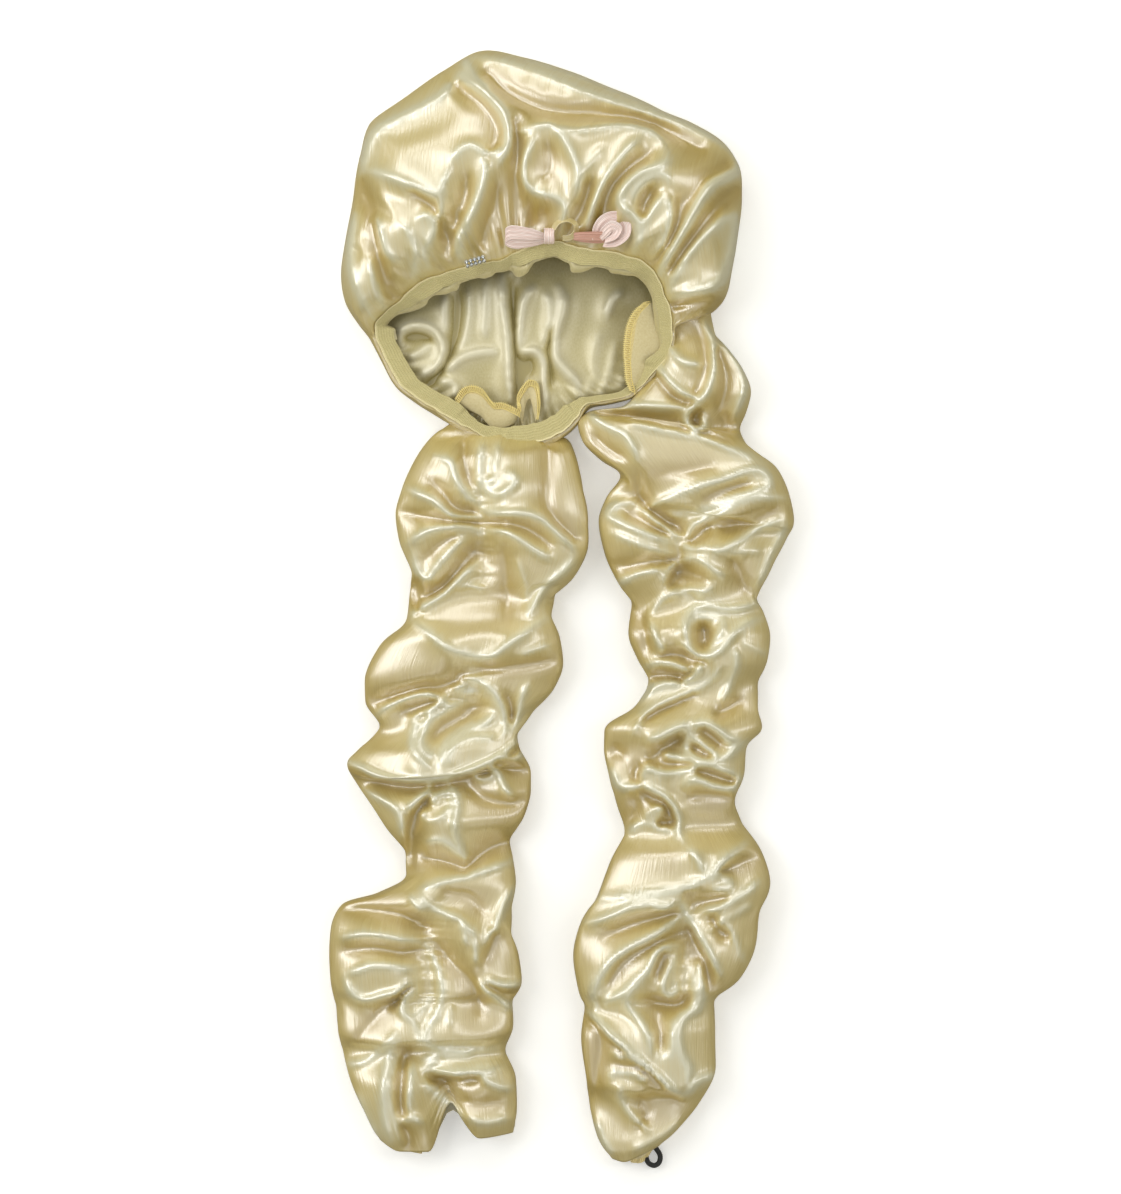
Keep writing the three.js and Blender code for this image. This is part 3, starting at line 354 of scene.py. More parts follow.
LEFT_FOLDS = folds(
    [6, 4, 6, 0, [(477, 505), (470, 498), (462, 487), (456, 475), (452, 462), (435, 455)]],
    [6, 4, 6, 0, [(478, 517), (455, 517), (445, 509), (436, 501), (420, 494), (408, 488)]],
    [-5, 4, 5, 0, [(476, 511), (458, 510), (448, 500), (440, 490), (430, 480)]],
    [6, 4, 6, 0, [
        (482, 534), (475, 529), (462, 527), (445, 528), (430, 531), (418, 538), (408, 545),
    ]],
    [-5, 4, 5, 0, [(480, 523), (460, 521), (440, 519), (420, 516), (405, 512)]],
    [5, 5, 5, 0, [
        (470, 537), (462, 542), (448, 556), (436, 570), (428, 580), (418, 570), (412, 548),
    ]],
    [-3, 5, 5, 0, [(455, 536), (438, 548), (424, 560)]],
    [6, 5, 6, 0, [
        (480, 508), (492, 514), (510, 514), (530, 515), (545, 521), (560, 535), (572, 545),
        (577, 557),
    ]],
    [5, 5, 5, 0, [
        (487, 531), (505, 532), (515, 537), (525, 543), (535, 550), (548, 558), (555, 562),
    ]],
    [-5, 5, 6, 0, [(486, 522), (510, 524), (530, 530), (550, 545)]],
    [6, 6, 6, 0, [(577, 557), (565, 570), (548, 585), (538, 598), (532, 610), (530, 620)]],
    [3, 7, 7, 0, [(517, 560), (525, 580), (528, 600), (524, 620)]],
    [5, 5, 6, 0, [(481, 492), (480, 470), (482, 440)]],
    [4, 5, 6, 0, [(493, 475), (497, 460), (498, 440)]],
    [5, 5, 5, 0, [
        (503, 470), (517, 479), (513, 487), (497, 496), (487, 490), (492, 480), (503, 470),
    ]],
    [-4, 8, 8, 0, [(466, 440), (464, 460), (470, 485)]],
    [7, 6, 6, 0, [(478, 563), (460, 578), (448, 590), (430, 602), (413, 614)]],
    [-7, 6, 6, 0, [(478, 545), (470, 555), (455, 575), (440, 590), (425, 600)]],
    [4, 6, 6, 0, [(455, 590), (470, 585), (485, 590)]],
    [6, 7, 7, 0, [
        (412, 620), (430, 632), (445, 645), (462, 653), (480, 657), (495, 655), (508, 645),
        (522, 635), (540, 622), (550, 617),
    ]],
    [-5, 8, 8, 0, [(548, 440), (549, 475), (547, 500), (552, 515), (575, 540)]],
    [-4, 8, 8, 0, [(505, 545), (507, 580), (508, 620)]],
    [-6, 7, 7, 0, [(418, 580), (416, 595), (420, 610)]],
    [4, 6, 6, 0, [(520, 655), (535, 650), (552, 644)]],
    [-5, 6, 8, 0, [(480, 668), (505, 668), (530, 664), (555, 660)]],
    [6, 5, 6, 0, [(440, 698), (428, 693), (415, 694), (400, 700), (388, 707), (377, 716)]],
    [-7, 5, 7, 0, [(463, 673), (455, 680), (440, 686), (420, 690), (395, 697), (376, 702)]],
    [-4, 5, 6, 0, [(438, 702), (420, 706), (402, 712)]],
    [6, 5, 6, 0, [
        (466, 679), (480, 682), (492, 690), (501, 702), (506, 716), (506, 729), (500, 740),
    ]],
    [5, 6, 6, 0, [(530, 684), (523, 695), (520, 708), (516, 722), (508, 738)]],
    [-3, 5, 5, 0, [(505, 694), (511, 706), (512, 720)]],
    [5, 4, 4, 0, [(448, 697), (436, 705), (424, 714), (410, 721)]],
    [-4, 4, 4, 0, [(449, 702), (436, 710), (420, 720)]],
    [5, 4, 4, 0, [(454, 691), (462, 686), (468, 693), (478, 686)]],
    [6, 6, 6, 0, [
        (455, 702), (441, 706), (428, 716), (416, 726), (413, 740), (418, 753), (428, 763),
        (431, 772),
    ]],
    [6, 6, 6, 0, [
        (465, 703), (449, 707), (436, 716), (425, 729), (422, 742), (429, 752), (442, 757),
    ]],
    [6, 6, 6, 0, [
        (497, 712), (486, 722), (470, 727), (457, 734), (447, 743), (443, 755), (443, 768),
    ]],
    [5, 5, 5, 0, [(500, 738), (478, 737), (462, 739), (453, 747), (449, 757), (452, 768)]],
    [-3, 6, 6, 0, [(484, 704), (466, 714), (446, 724), (434, 738)]],
    [8, 5, 6, 0.5, [
        (348, 762), (362, 767), (378, 774), (395, 779), (420, 780), (446, 778), (466, 771),
        (486, 763), (504, 753), (518, 740),
    ]],
    [-6, 6, 8, 0, [(376, 781), (400, 786), (425, 788)]],
    [6, 5, 5, 0, [(434, 782), (427, 791), (418, 800), (406, 811)]],
    [-8, 4, 6, 0, [(432, 797), (424, 806), (417, 818), (412, 832), (411, 850), (412, 866)]],
    [5, 4, 4, 0, [
        (421, 818), (424, 806), (433, 798), (446, 790), (453, 797), (450, 808), (440, 817),
        (428, 821),
    ]],
    [7, 5, 7, 0, [
        (448, 782), (456, 792), (458, 806), (456, 820), (457, 835), (462, 847), (467, 858),
    ]],
    [6, 6, 8, 0, [(490, 763), (499, 773), (504, 785), (512, 795)]],
    [4, 4, 4, 0, [(470, 772), (478, 777), (490, 777), (494, 770), (488, 765)]],
    [-6, 8, 10, 0, [(464, 783), (475, 792), (490, 800), (510, 803), (525, 800)]],
    [5, 5, 6, 0, [(498, 757), (515, 757), (526, 751)]],
    [-5, 5, 8, 0, [(498, 762), (510, 768), (526, 770)]],
    [5, 10, 10, 0, [(366, 790), (385, 800), (400, 812), (404, 836)]],
    [6, 6, 8, 0, [(427, 842), (441, 840), (453, 847), (465, 858)]],
    [-5, 7, 8, 0, [(420, 858), (440, 861), (458, 866), (466, 872)]],
    [-5, 6, 8, 0, [(467, 869), (478, 858), (492, 848), (512, 840)]],
    [7, 5, 6, 0, [(420, 887), (440, 881), (465, 875), (490, 868), (513, 861)]],
    [6, 5, 6, 0, [
        (421, 888), (424, 898), (436, 907), (448, 912), (462, 918), (472, 928), (481, 940),
    ]],
    [6, 5, 6, 0, [(514, 886), (506, 900), (500, 915), (494, 930), (486, 942)]],
    [-3, 9, 9, 0, [(446, 890), (470, 894), (484, 912)]],
    [5, 5, 5, 0, [(412, 892), (417, 902), (426, 910)]],
    [5, 6, 6, 0, [(460, 921), (465, 930), (467, 944)]],
    [5, 5, 5, 0, [(475, 934), (477, 948), (476, 962)]],
    [-6, 5, 8, 0, [(440, 945), (450, 958), (460, 968), (470, 978), (478, 990), (481, 1012)]],
    [6, 5, 8, 0, [(480, 981), (490, 990), (502, 1000), (514, 1009)]],
    [6, 5, 5, 0.5, [(486, 978), (503, 984), (522, 984)]],
    [-4, 7, 8, 0, [(495, 925), (492, 945), (486, 962)]],
    [6, 5, 6, 0, [
        (428, 944), (436, 960), (442, 978), (442, 996), (437, 1013), (429, 1025), (427, 1037),
        (434, 1046), (450, 1049), (475, 1050), (500, 1048),
    ]],
    [5, 5, 5, 0, [
        (420, 984), (410, 992), (405, 1005), (411, 1013), (420, 1011), (427, 1002), (429, 990),
    ]],
    [5, 5, 5, 0, [(414, 986), (403, 998), (403, 1011), (414, 1020), (420, 1031), (421, 1050)]],
    [4, 4, 4, 0, [(433, 990), (431, 1000), (434, 1010), (438, 1002)]],
    [4, 5, 5, 0, [(452, 1003), (451, 1026)]],
    [6, 5, 8, 0, [(424, 940), (402, 937), (380, 933), (360, 933), (342, 937)]],
    [-5, 5, 8, 0, [(420, 950), (400, 951), (375, 947), (345, 950)]],
    [6, 5, 6, 0, [(418, 966), (402, 966), (386, 963), (372, 964), (358, 969), (345, 974)]],
    [6, 5, 6, 0, [
        (418, 977), (408, 984), (400, 990), (385, 993), (370, 998), (358, 996), (350, 986),
        (344, 975),
    ]],
    [-7, 5, 6, 0, [(412, 985), (402, 992), (398, 1001), (388, 1004)]],
    [-7, 5, 8, 0, [(426, 926), (414, 918), (398, 912), (370, 909), (346, 909)]],
    [5, 6, 8, 0, [(399, 1029), (388, 1042), (378, 1052), (364, 1061), (346, 1065)]],
    [-4, 6, 8, 0, [(384, 1006), (372, 1022), (356, 1040)]],
    [6, 6, 7, 0, [
        (401, 1035), (393, 1048), (388, 1062), (385, 1080), (384, 1100), (386, 1120), (391, 1142),
    ]],
    [4, 5, 6, 0, [(400, 1052), (393, 1070), (392, 1095), (395, 1120), (401, 1140)]],
    [-6, 6, 7, 0, [(407, 1050), (403, 1075), (402, 1098), (405, 1116)]],
    [6, 6, 6, 0, [(412, 1062), (411, 1084), (408, 1108)]],
    [5, 5, 6, 0, [(402, 1118), (414, 1116), (424, 1121)]],
    [-4, 5, 6, 0, [(404, 1125), (410, 1135), (408, 1150)]],
    [6, 5, 5, 0, [(420, 1060), (434, 1056), (450, 1053), (478, 1052)]],
    [5, 5, 5, 0, [(422, 1071), (431, 1064), (441, 1058)]],
    [7, 5, 6, 0, [(430, 1070), (452, 1072), (476, 1070), (502, 1067)]],
    [-7, 5, 7, 0, [(430, 1079), (455, 1080), (480, 1078)]],
    [5, 5, 6, 0, [(480, 1074), (491, 1081), (502, 1086), (514, 1086)]],
    [6, 5, 7, 0, [(426, 1080), (436, 1090), (449, 1103), (462, 1117)]],
    [-4, 9, 12, 0, [(456, 1096), (476, 1103), (502, 1102)]],
    [4, 8, 8, 0, [(466, 1116), (486, 1121), (510, 1118)]],
    [5, 6, 8, 0, [(356, 1092), (366, 1116), (379, 1142)]],
)

RIGHT_FOLDS = folds(
    [6, 7, 8, 0.3, [(704, 320), (713, 345), (714, 370), (706, 395), (692, 412)]],
    [7, 7, 8, 0, [(722, 340), (740, 366), (744, 390), (734, 416)]],
    [-6, 6, 6, 0, [(718, 352), (726, 380), (720, 410)]],
    [7, 6, 7, 0, [(652, 356), (664, 378), (684, 396), (700, 398)]],
    [6, 6, 6, 0, [(668, 346), (682, 362), (700, 366)]],
    [-5, 5, 6, 0, [(656, 374), (672, 394), (692, 404)]],
    [6, 4, 5, 0, [
        (708, 398), (696, 404), (688, 413), (687, 422), (692, 430), (701, 431), (706, 424),
        (703, 417),
    ]],
    [-5, 5, 5, 0, [(700, 410), (694, 417), (697, 424)]],
    [-4, 8, 8, 0, [(722, 412), (728, 424), (722, 434)]],
    [7, 6, 8, 0, [(588, 407), (604, 404), (630, 405), (655, 407), (686, 408)]],
    [-6, 5, 6, 0, [(600, 413), (640, 420), (670, 427), (700, 432), (728, 443)]],
    [6, 6, 8, 0, [(588, 409), (598, 422), (613, 430), (626, 437), (633, 448), (638, 462)]],
    [-4, 8, 8, 0, [(594, 436), (608, 448), (624, 458)]],
    [5, 9, 10, 0, [(632, 424), (660, 430), (700, 438), (736, 452), (768, 464)]],
    [-3, 9, 9, 0, [(646, 476), (680, 472), (712, 466)]],
    [6, 6, 7, 0, [
        (648, 508), (665, 500), (685, 492), (705, 485), (725, 480), (745, 472), (759, 470),
        (769, 478), (768, 487), (755, 492), (735, 497), (715, 506), (695, 513), (672, 515),
    ]],
    [-4, 6, 7, 0, [(702, 499), (722, 491), (748, 484)]],
    [6, 6, 8, 0, [
        (688, 536), (692, 526), (706, 520), (722, 512), (741, 502), (762, 498), (786, 498),
    ]],
    [-7, 4, 6, 0, [(640, 474), (641, 494), (650, 510), (665, 521), (680, 531)]],
    [-6, 6, 7, 0, [(690, 542), (702, 534), (708, 526)]],
    [-5, 8, 9, 0, [(724, 530), (745, 520), (775, 510)]],
    [6, 5, 6, 0, [(704, 547), (720, 551), (735, 543), (750, 533), (765, 525), (785, 519)]],
    [5, 4, 5, 0, [(786, 520), (782, 535), (772, 552), (765, 570), (757, 588)]],
    [4, 7, 8, 0, [(724, 556), (745, 552), (764, 552)]],
    [6, 5, 6, 0, [
        (680, 543), (660, 538), (640, 531), (625, 524), (610, 517), (609, 510), (619, 504),
        (634, 503),
    ]],
    [5, 5, 6, 0, [(681, 536), (668, 529), (655, 519), (641, 506)]],
    [-5, 4, 5, 0, [(668, 534), (648, 525), (628, 514)]],
    [5, 5, 6, 0, [(676, 555), (655, 550), (640, 545), (625, 539), (610, 533)]],
    [-5, 6, 8, 0, [(680, 558), (652, 562), (628, 566), (612, 564)]],
    [6, 5, 7, 0, [(662, 570), (642, 573), (626, 580), (616, 584)]],
    [5, 4, 4, 0, [(682, 544), (694, 549), (706, 546)]],
    [5, 4, 5, 0, [(680, 561), (692, 558), (705, 564), (715, 572), (726, 577)]],
    [-5, 4, 5, 0, [(684, 566), (692, 573), (704, 577)]],
    [5, 4, 5, 0, [(677, 561), (669, 571), (662, 584)]],
    [-5, 4, 4, 0, [(681, 566), (676, 575), (670, 583)]],
    [5, 4, 5, 0, [(666, 591), (680, 592), (692, 590), (704, 592), (714, 585)]],
    [-4, 9, 9, 0, [(732, 560), (740, 575), (746, 590)]],
    [5, 6, 6, 0, [(652, 613), (662, 600), (676, 593), (690, 590)]],
    [7, 6, 7, 0, [
        (686, 640), (685, 625), (690, 613), (704, 607), (726, 609), (745, 607), (758, 602),
    ]],
    [5, 4, 4, 0, [
        (700, 655), (689, 645), (687, 630), (694, 619), (706, 617), (722, 619), (722, 628),
        (714, 640), (706, 651),
    ]],
    [-8, 5, 5, 0, [(702, 626), (706, 636), (703, 646)]],
    [-5, 4, 5, 0, [(683, 649), (694, 658), (704, 661)]],
    [6, 5, 6, 0, [
        (680, 644), (690, 652), (701, 657), (713, 654), (723, 647), (735, 632), (748, 623),
        (763, 618),
    ]],
    [5, 5, 6, 0, [(735, 646), (736, 664), (729, 686), (723, 700)]],
    [3, 6, 8, 0, [(738, 640), (752, 648), (767, 654)]],
    [-5, 8, 8, 0, [(640, 616), (646, 634), (648, 652)]],
    [5, 5, 6, 0, [(650, 622), (657, 640), (664, 652)]],
    [-6, 6, 6, 0, [(662, 656), (676, 654), (690, 662)]],
    [5, 4, 5, 0, [(646, 667), (664, 662), (680, 667), (690, 672)]],
    [-7, 5, 5, 0, [(652, 676), (668, 675), (680, 679), (692, 672)]],
    [7, 5, 7, 0, [(701, 662), (696, 674), (681, 680), (661, 684), (649, 691), (641, 702)]],
    [5, 6, 8, 0, [
        (722, 660), (714, 676), (700, 688), (684, 696), (664, 704), (645, 716), (632, 734),
    ]],
    [-4, 4, 5, 0, [(706, 684), (690, 694), (674, 702)]],
    [-4, 4, 5, 0, [(676, 702), (656, 710), (640, 721)]],
    [-5, 7, 8, 0, [(744, 700), (728, 708), (716, 716)]],
    [7, 8, 6, 0, [(648, 740), (662, 735), (678, 727), (689, 721)]],
    [-7, 5, 5, 0, [(650, 761), (660, 752), (672, 743), (682, 738)]],
    [5, 4, 4, 0, [(680, 730), (686, 728), (690, 735), (684, 742)]],
    [7, 5, 6, 0, [(690, 725), (705, 722), (718, 730), (727, 738), (742, 740)]],
    [5, 4, 5, 0, [(690, 738), (698, 741), (706, 748), (714, 753), (721, 757)]],
    [6, 5, 6, 0, [
        (683, 742), (688, 752), (698, 758), (712, 760), (724, 757), (735, 748), (748, 741),
    ]],
    [-5, 6, 6, 0, [(702, 730), (714, 737), (722, 745)]],
    [-5, 5, 5, 0, [(694, 746), (702, 752), (710, 755)]],
    [6, 5, 6, 0, [(664, 753), (680, 758), (700, 762), (720, 762)]],
    [6, 4, 6, 0, [
        (640, 776), (647, 767), (656, 770), (669, 772), (685, 768), (700, 765), (712, 765),
        (726, 770), (741, 777),
    ]],
    [-4, 4, 5, 0, [(654, 763), (674, 765), (692, 764)]],
    [-6, 5, 6, 0, [(698, 770), (720, 777), (738, 784)]],
    [7, 5, 6, 0, [
        (684, 784), (694, 779), (703, 781), (713, 786), (726, 788), (735, 785), (741, 778),
    ]],
    [6, 5, 6, 0, [
        (640, 784), (652, 790), (665, 797), (673, 806), (678, 818), (679, 832), (686, 842),
    ]],
    [-7, 5, 6, 0, [(642, 792), (656, 798), (667, 806), (672, 816)]],
    [4, 4, 4, 0, [(644, 821), (652, 811), (663, 804)]],
    [4, 4, 4, 0, [(655, 823), (659, 813), (667, 805)]],
    [-6, 4, 4, 0, [(658, 824), (668, 825), (676, 820)]],
    [6, 5, 5, 0, [(612, 768), (619, 785), (631, 787), (641, 783)]],
    [-5, 5, 5, 0, [(612, 756), (618, 748), (622, 758)]],
    [-6, 5, 6, 0, [(641, 764), (637, 774), (638, 781)]],
    [-4, 8, 8, 0, [(632, 796), (638, 806), (628, 820)]],
    [-5, 9, 9, 0, [(690, 796), (710, 794), (730, 797)]],
    [6, 9, 9, 0, [(688, 846), (698, 858), (702, 872)]],
    [5, 5, 6, 0, [(628, 834), (640, 824), (658, 826), (677, 829)]],
    [7, 4, 6, 0, [
        (600, 897), (640, 893), (665, 889), (680, 887), (700, 880), (713, 871), (726, 857),
        (746, 843),
    ]],
    [-5, 8, 8, 0, [(722, 870), (742, 862), (756, 858)]],
    [5, 4, 5, 0, [(701, 880), (712, 876), (725, 876), (731, 883), (722, 888), (708, 886)]],
    [-6, 6, 7, 0, [(686, 893), (702, 897), (724, 895)]],
    [6, 6, 8, 0, [(760, 878), (749, 888), (735, 897), (718, 905), (700, 908)]],
    [4, 6, 8, 0, [(754, 902), (740, 910), (724, 918), (710, 928)]],
    [6, 4, 6, 0, [
        (677, 895), (672, 903), (662, 906), (652, 902), (632, 904), (617, 911), (601, 918),
        (586, 922),
    ]],
    [-6, 7, 8, 0, [(675, 910), (655, 917), (630, 925), (604, 935)]],
    [7, 4, 6, 0, [
        (684, 916), (672, 922), (660, 930), (645, 938), (626, 948), (610, 962), (598, 978),
        (593, 992), (597, 1010),
    ]],
    [-4, 5, 6, 0, [(680, 934), (662, 940), (640, 950), (622, 964), (610, 982)]],
    [7, 5, 7, 0, [(680, 897), (686, 912), (694, 928), (702, 940), (712, 958), (721, 974)]],
    [-7, 4, 5, 0, [(690, 926), (697, 944), (706, 962), (710, 986)]],
    [6, 5, 6, 0, [
        (680, 945), (666, 945), (657, 950), (652, 962), (645, 972), (634, 979), (624, 990),
        (612, 998), (601, 1003),
    ]],
    [6, 5, 6, 0, [
        (645, 979), (636, 984), (628, 994), (629, 1006), (637, 1015), (645, 1026), (651, 1040),
        (650, 1053),
    ]],
    [5, 4, 5, 0, [
        (681, 951), (671, 965), (664, 980), (665, 991), (671, 995), (677, 988), (674, 974),
    ]],
    [5, 5, 5, 0, [
        (690, 966), (695, 984), (694, 1004), (684, 1011), (674, 1021), (672, 1038), (672, 1051),
        (661, 1056), (650, 1056),
    ]],
    [6, 6, 7, 0, [
        (700, 964), (702, 986), (700, 1006), (688, 1013), (680, 1023), (679, 1040), (683, 1055),
        (690, 1066), (688, 1076), (682, 1091),
    ]],
    [-5, 5, 6, 0, [(664, 952), (660, 963), (656, 974)]],
    [-6, 6, 6, 0, [(648, 997), (662, 1003), (680, 1005), (688, 994)]],
    [-3, 7, 7, 0, [(655, 1015), (661, 1030), (660, 1044)]],
    [4, 8, 8, 0, [(724, 918), (735, 940), (744, 962)]],
    [-5, 6, 8, 0, [(712, 916), (722, 934), (730, 930)]],
    [8, 4, 6, 0.6, [
        (588, 1012), (600, 1022), (613, 1036), (628, 1048), (647, 1066), (667, 1083), (685, 1097),
    ]],
    [-6, 6, 8, 0, [(598, 1030), (602, 1044), (598, 1068), (597, 1092)]],
    [5, 5, 6, 0, [(613, 1048), (626, 1056), (641, 1061), (656, 1071)]],
    [-6, 5, 5, 0, [(616, 1063), (632, 1063), (646, 1070), (662, 1082)]],
    [5, 6, 7, 0, [(608, 1075), (620, 1069), (636, 1072), (652, 1077)]],
    [4, 8, 10, 0, [(620, 1082), (622, 1100), (634, 1116), (650, 1130)]],
    [-3, 8, 8, 0, [(640, 1096), (648, 1112), (640, 1126)]],
    [6, 4, 5, 0, [(686, 1096), (694, 1083), (704, 1077), (717, 1075)]],
    [4, 5, 6, 0, [(680, 1120), (665, 1134), (645, 1144), (630, 1152)]],
    [5, 5, 5, 0, [(596, 1120), (603, 1140), (614, 1156)]],
)


def smooth(low, high, value):
    """0 at low, 1 at high, held beyond them, and an even curve between them."""
    share = np.clip((value - low) / (high - low), 0, 1)
    return share * share * (3 - 2 * share)


def curve_through(rows, key, at, period=None):
    """Columns of a table at new places, on smooth curves that never swing past its rows."""
    keys = rows[key].astype(float)
    if period:
        keys = np.concatenate([keys[-2:] - period, keys, keys[:2] + period])
        at = keys[2] + np.mod(at - keys[2], period)
    i = np.clip(np.searchsorted(keys, at, side="right") - 1, 0, len(keys) - 2)
    span = np.diff(keys)
    t = np.clip((at - keys[i]) / span[i], 0, 1)
    found = {}
    for name, column in rows.items():
        if name == key:
            continue
        values = column.astype(float)
        if period:
            values = np.concatenate([values[-2:], values, values[:2]])
        rise = np.diff(values) / span
        product = rise[:-1] * rise[1:]
        total = rise[:-1] + rise[1:]
        inner = np.where(product > 0, 2 * product / np.where(total == 0, 1, total), 0)
        slope = np.concatenate([rise[:1], inner, rise[-1:]])
        found[name] = (
            (2 * t**3 - 3 * t**2 + 1) * values[i]
            + (t**3 - 2 * t**2 + t) * span[i] * slope[i]
            + (3 * t**2 - 2 * t**3) * values[i + 1]
            + (t**3 - t**2) * span[i] * slope[i + 1]
        )
    return found


def from_photo(pixels):
    """Millimetres of the drawing frame for pixels of the photograph."""
    pixels = np.array(pixels, float)
    x = (pixels[:, 0] - OPENING_PIXEL[0]) * PIXEL
    y = (OPENING_PIXEL[1] - pixels[:, 1]) * PIXEL
    return np.stack([x, y], axis=1)


def rounded(path, steps=4):
    """A smooth line through a few points."""
    ends = np.concatenate([path[:1] * 2 - path[1:2], path, path[-1:] * 2 - path[-2:-1]])
    t = np.arange(steps)[:, None] / steps
    pieces = []
    for a, b, c, d in zip(ends[:-3], ends[1:-2], ends[2:-1], ends[3:]):
        squared, cubed = 2 * a - 5 * b + 4 * c - d, 3 * b - a - 3 * c + d
        pieces.append(0.5 * (2 * b + (c - a) * t + squared * t**2 + cubed * t**3))
    return np.concatenate([*pieces, path[-1:]])


def unit(vectors):
    """The vectors' directions, each one long."""
    return vectors / np.linalg.norm(vectors, axis=1)[:, None]


def walked_along(path):
    """How far along a path each of its points lies."""
    return np.concatenate([[0], np.cumsum(np.linalg.norm(np.diff(path, axis=0), axis=1))])


def fold_lines(rows):
    """Points along every fold with the height and half width of its crest there.

    A skewed fold drops into a crease on its steep side, as cloth does where one fold leans over.
    """
    for fold in rows:
        path = rounded(from_photo(fold["crest"]), 10)
        way = unit(np.gradient(path, axis=0))
        side = np.stack([-way[:, 1], way[:, 0]], axis=1)
        walked = walked_along(path)
        along = walked / walked[-1]
        fade = (0.5 + 0.5 * smooth(0, 0.15, along)) * (1 - 0.5 * smooth(0.8, 1, along))
        width = fold["start"] + (fold["end"] - fold["start"]) * along
        yield path, FOLD_GAIN * fold["height"] * fade, CREST * width
        if fold["skew"]:
            steep = path - np.sign(fold["skew"]) * side * (0.85 * width)[:, None]
            yield steep, -0.9 * abs(fold["skew"]) * fold["height"] * fade, 0.06 * width


def blurred(grid):
    """A grid averaged with its neighbours."""
    soft = grid.copy()
    soft[1:-1] = (grid[2:] + 2 * grid[1:-1] + grid[:-2]) / 4
    soft[:, 1:-1] = (soft[:, 2:] + 2 * soft[:, 1:-1] + soft[:, :-2]) / 4
    return soft


def fold_map(rows):
    """The heights that folds give, as a grid: its corner, the broad forms and the sharp rest.

    Cloth between two crests hangs from both like a stretched skin, so the height between the
    fold lines is relaxed until each cell is near the mean of its neighbours.
    """
    lines = list(fold_lines(rows))
    every = np.concatenate([path for path, height, half in lines])
    low = every.min(axis=0) - MAP_MARGIN
    shape = tuple(((every.max(axis=0) + MAP_MARGIN - low) / FOLD_CELL).astype(int) + 2)
    fixed = np.zeros(shape)
    for path, height, half in lines:
        for (px, py), rise, reach in zip((path - low) / FOLD_CELL, height, half / FOLD_CELL):
            span = int(reach) + 1
            i, j = int(round(px)), int(round(py))
            us, vs = np.ogrid[i - span : i + span + 1, j - span : j + span + 1]
            patch = fixed[i - span : i + span + 1, j - span : j + span + 1]
            near = np.hypot(us - px, vs - py) <= max(reach, 0.71)
            patch[near & (np.abs(rise) > np.abs(patch))] = rise
    held = fixed != 0
    total = fixed.copy()
    slack = 4 + (FOLD_CELL / FOLD_REACH) ** 2
    for _ in range(FOLD_STEPS):
        beside = total[2:, 1:-1] + total[:-2, 1:-1] + total[1:-1, 2:] + total[1:-1, :-2]
        total[1:-1, 1:-1] = beside / slack
        total[held] = fixed[held]
    for _ in range(FOLD_BLUR):
        total = blurred(total)
    roll = np.maximum(fixed, 0)
    for _ in range(ROLL_BLUR):
        roll = blurred(roll)
    total += ROLL * roll
    broad = total
    for _ in range(BROAD_BLUR):
        broad = blurred(broad)
    return low, broad, total - broad


def read_map(low, grid, x, y):
    """The grid's height at each place, and 0 beyond it."""
    at = np.stack([(x - low[0]) / FOLD_CELL, (y - low[1]) / FOLD_CELL])
    limit = np.array(grid.shape).reshape((2,) + (1,) * x.ndim) - 1.001
    at = np.clip(at, 0, limit)
    i, j = at.astype(int)
    u, v = at - [i, j]
    return (1 - v) * ((1 - u) * grid[i, j] + u * grid[i + 1, j]) + v * (
        (1 - u) * grid[i, j + 1] + u * grid[i + 1, j + 1]
    )


def broad_folds(x, y, folds_map):
    """The broad forms, for the coarse mesh that is let go in the simulation."""
    return read_map(folds_map[0], folds_map[1], x, y)


def sharp_folds(x, y, folds_map):
    """The sharp rest, for the fine mesh."""
    return read_map(folds_map[0], folds_map[2], x, y)


def grid_piece(name, points, wrap=True, flat_grain=False):
    """A mesh piece from rows of points, with a UV map in metres that follows the cloth's threads.

    flat_grain runs the threads straight across the piece, as on cloth cut flat and then gathered.
    """
    rows, count = points.shape[:2]
    places = (points.reshape(-1, 3) + OPENING_MIDDLE) * METRES
    columns = count if wrap else count - 1
    v, u = np.meshgrid(np.arange(rows - 1), np.arange(columns), indexing="ij")
    w = (u + 1) % count
    here, after = v * count, (v + 1) * count
    quads = np.stack([here + u, after + u, after + w, here + w], axis=-1)
    mesh = bpy.data.meshes.new(name)
    mesh.from_pydata(places.tolist(), [], quads.reshape(-1, 4).tolist())
    if flat_grain:
        tilt = np.array([[1, 0], [0, 1], [0.4, 0.3]])  # so that upright cloth keeps some width
        uv = (places @ tilt)[quads.reshape(-1)]
    else:
        across = np.linalg.norm(np.roll(points, -1, axis=1) - points, axis=2).mean(axis=0)
        along = np.linalg.norm(np.diff(points, axis=0), axis=2).mean(axis=1)
        us = np.concatenate([[0], np.cumsum(across)]) * METRES
        vs = np.concatenate([[0], np.cumsum(along)]) * METRES
        corners = np.stack([u, v, u, v + 1, u + 1, v + 1, u + 1, v], axis=-1).reshape(-1, 2)
        uv = np.stack([us[corners[:, 0]], vs[corners[:, 1]]], axis=1)
    mesh.uv_layers.new(name="cloth").data.foreach_set("uv", uv.ravel())
    mesh.shade_smooth()
    piece = bpy.data.objects.new(name, mesh)
    bpy.context.scene.collection.objects.link(piece)
    return piece


def applied(piece):
    """The piece with its modifiers made part of its mesh."""
    bpy.context.view_layer.update()
    evaluated = piece.evaluated_get(bpy.context.evaluated_depsgraph_get())
    mesh = bpy.data.meshes.new_from_object(evaluated)
    piece.modifiers.clear()
    piece.data = mesh
    mesh.shade_smooth()
    return piece


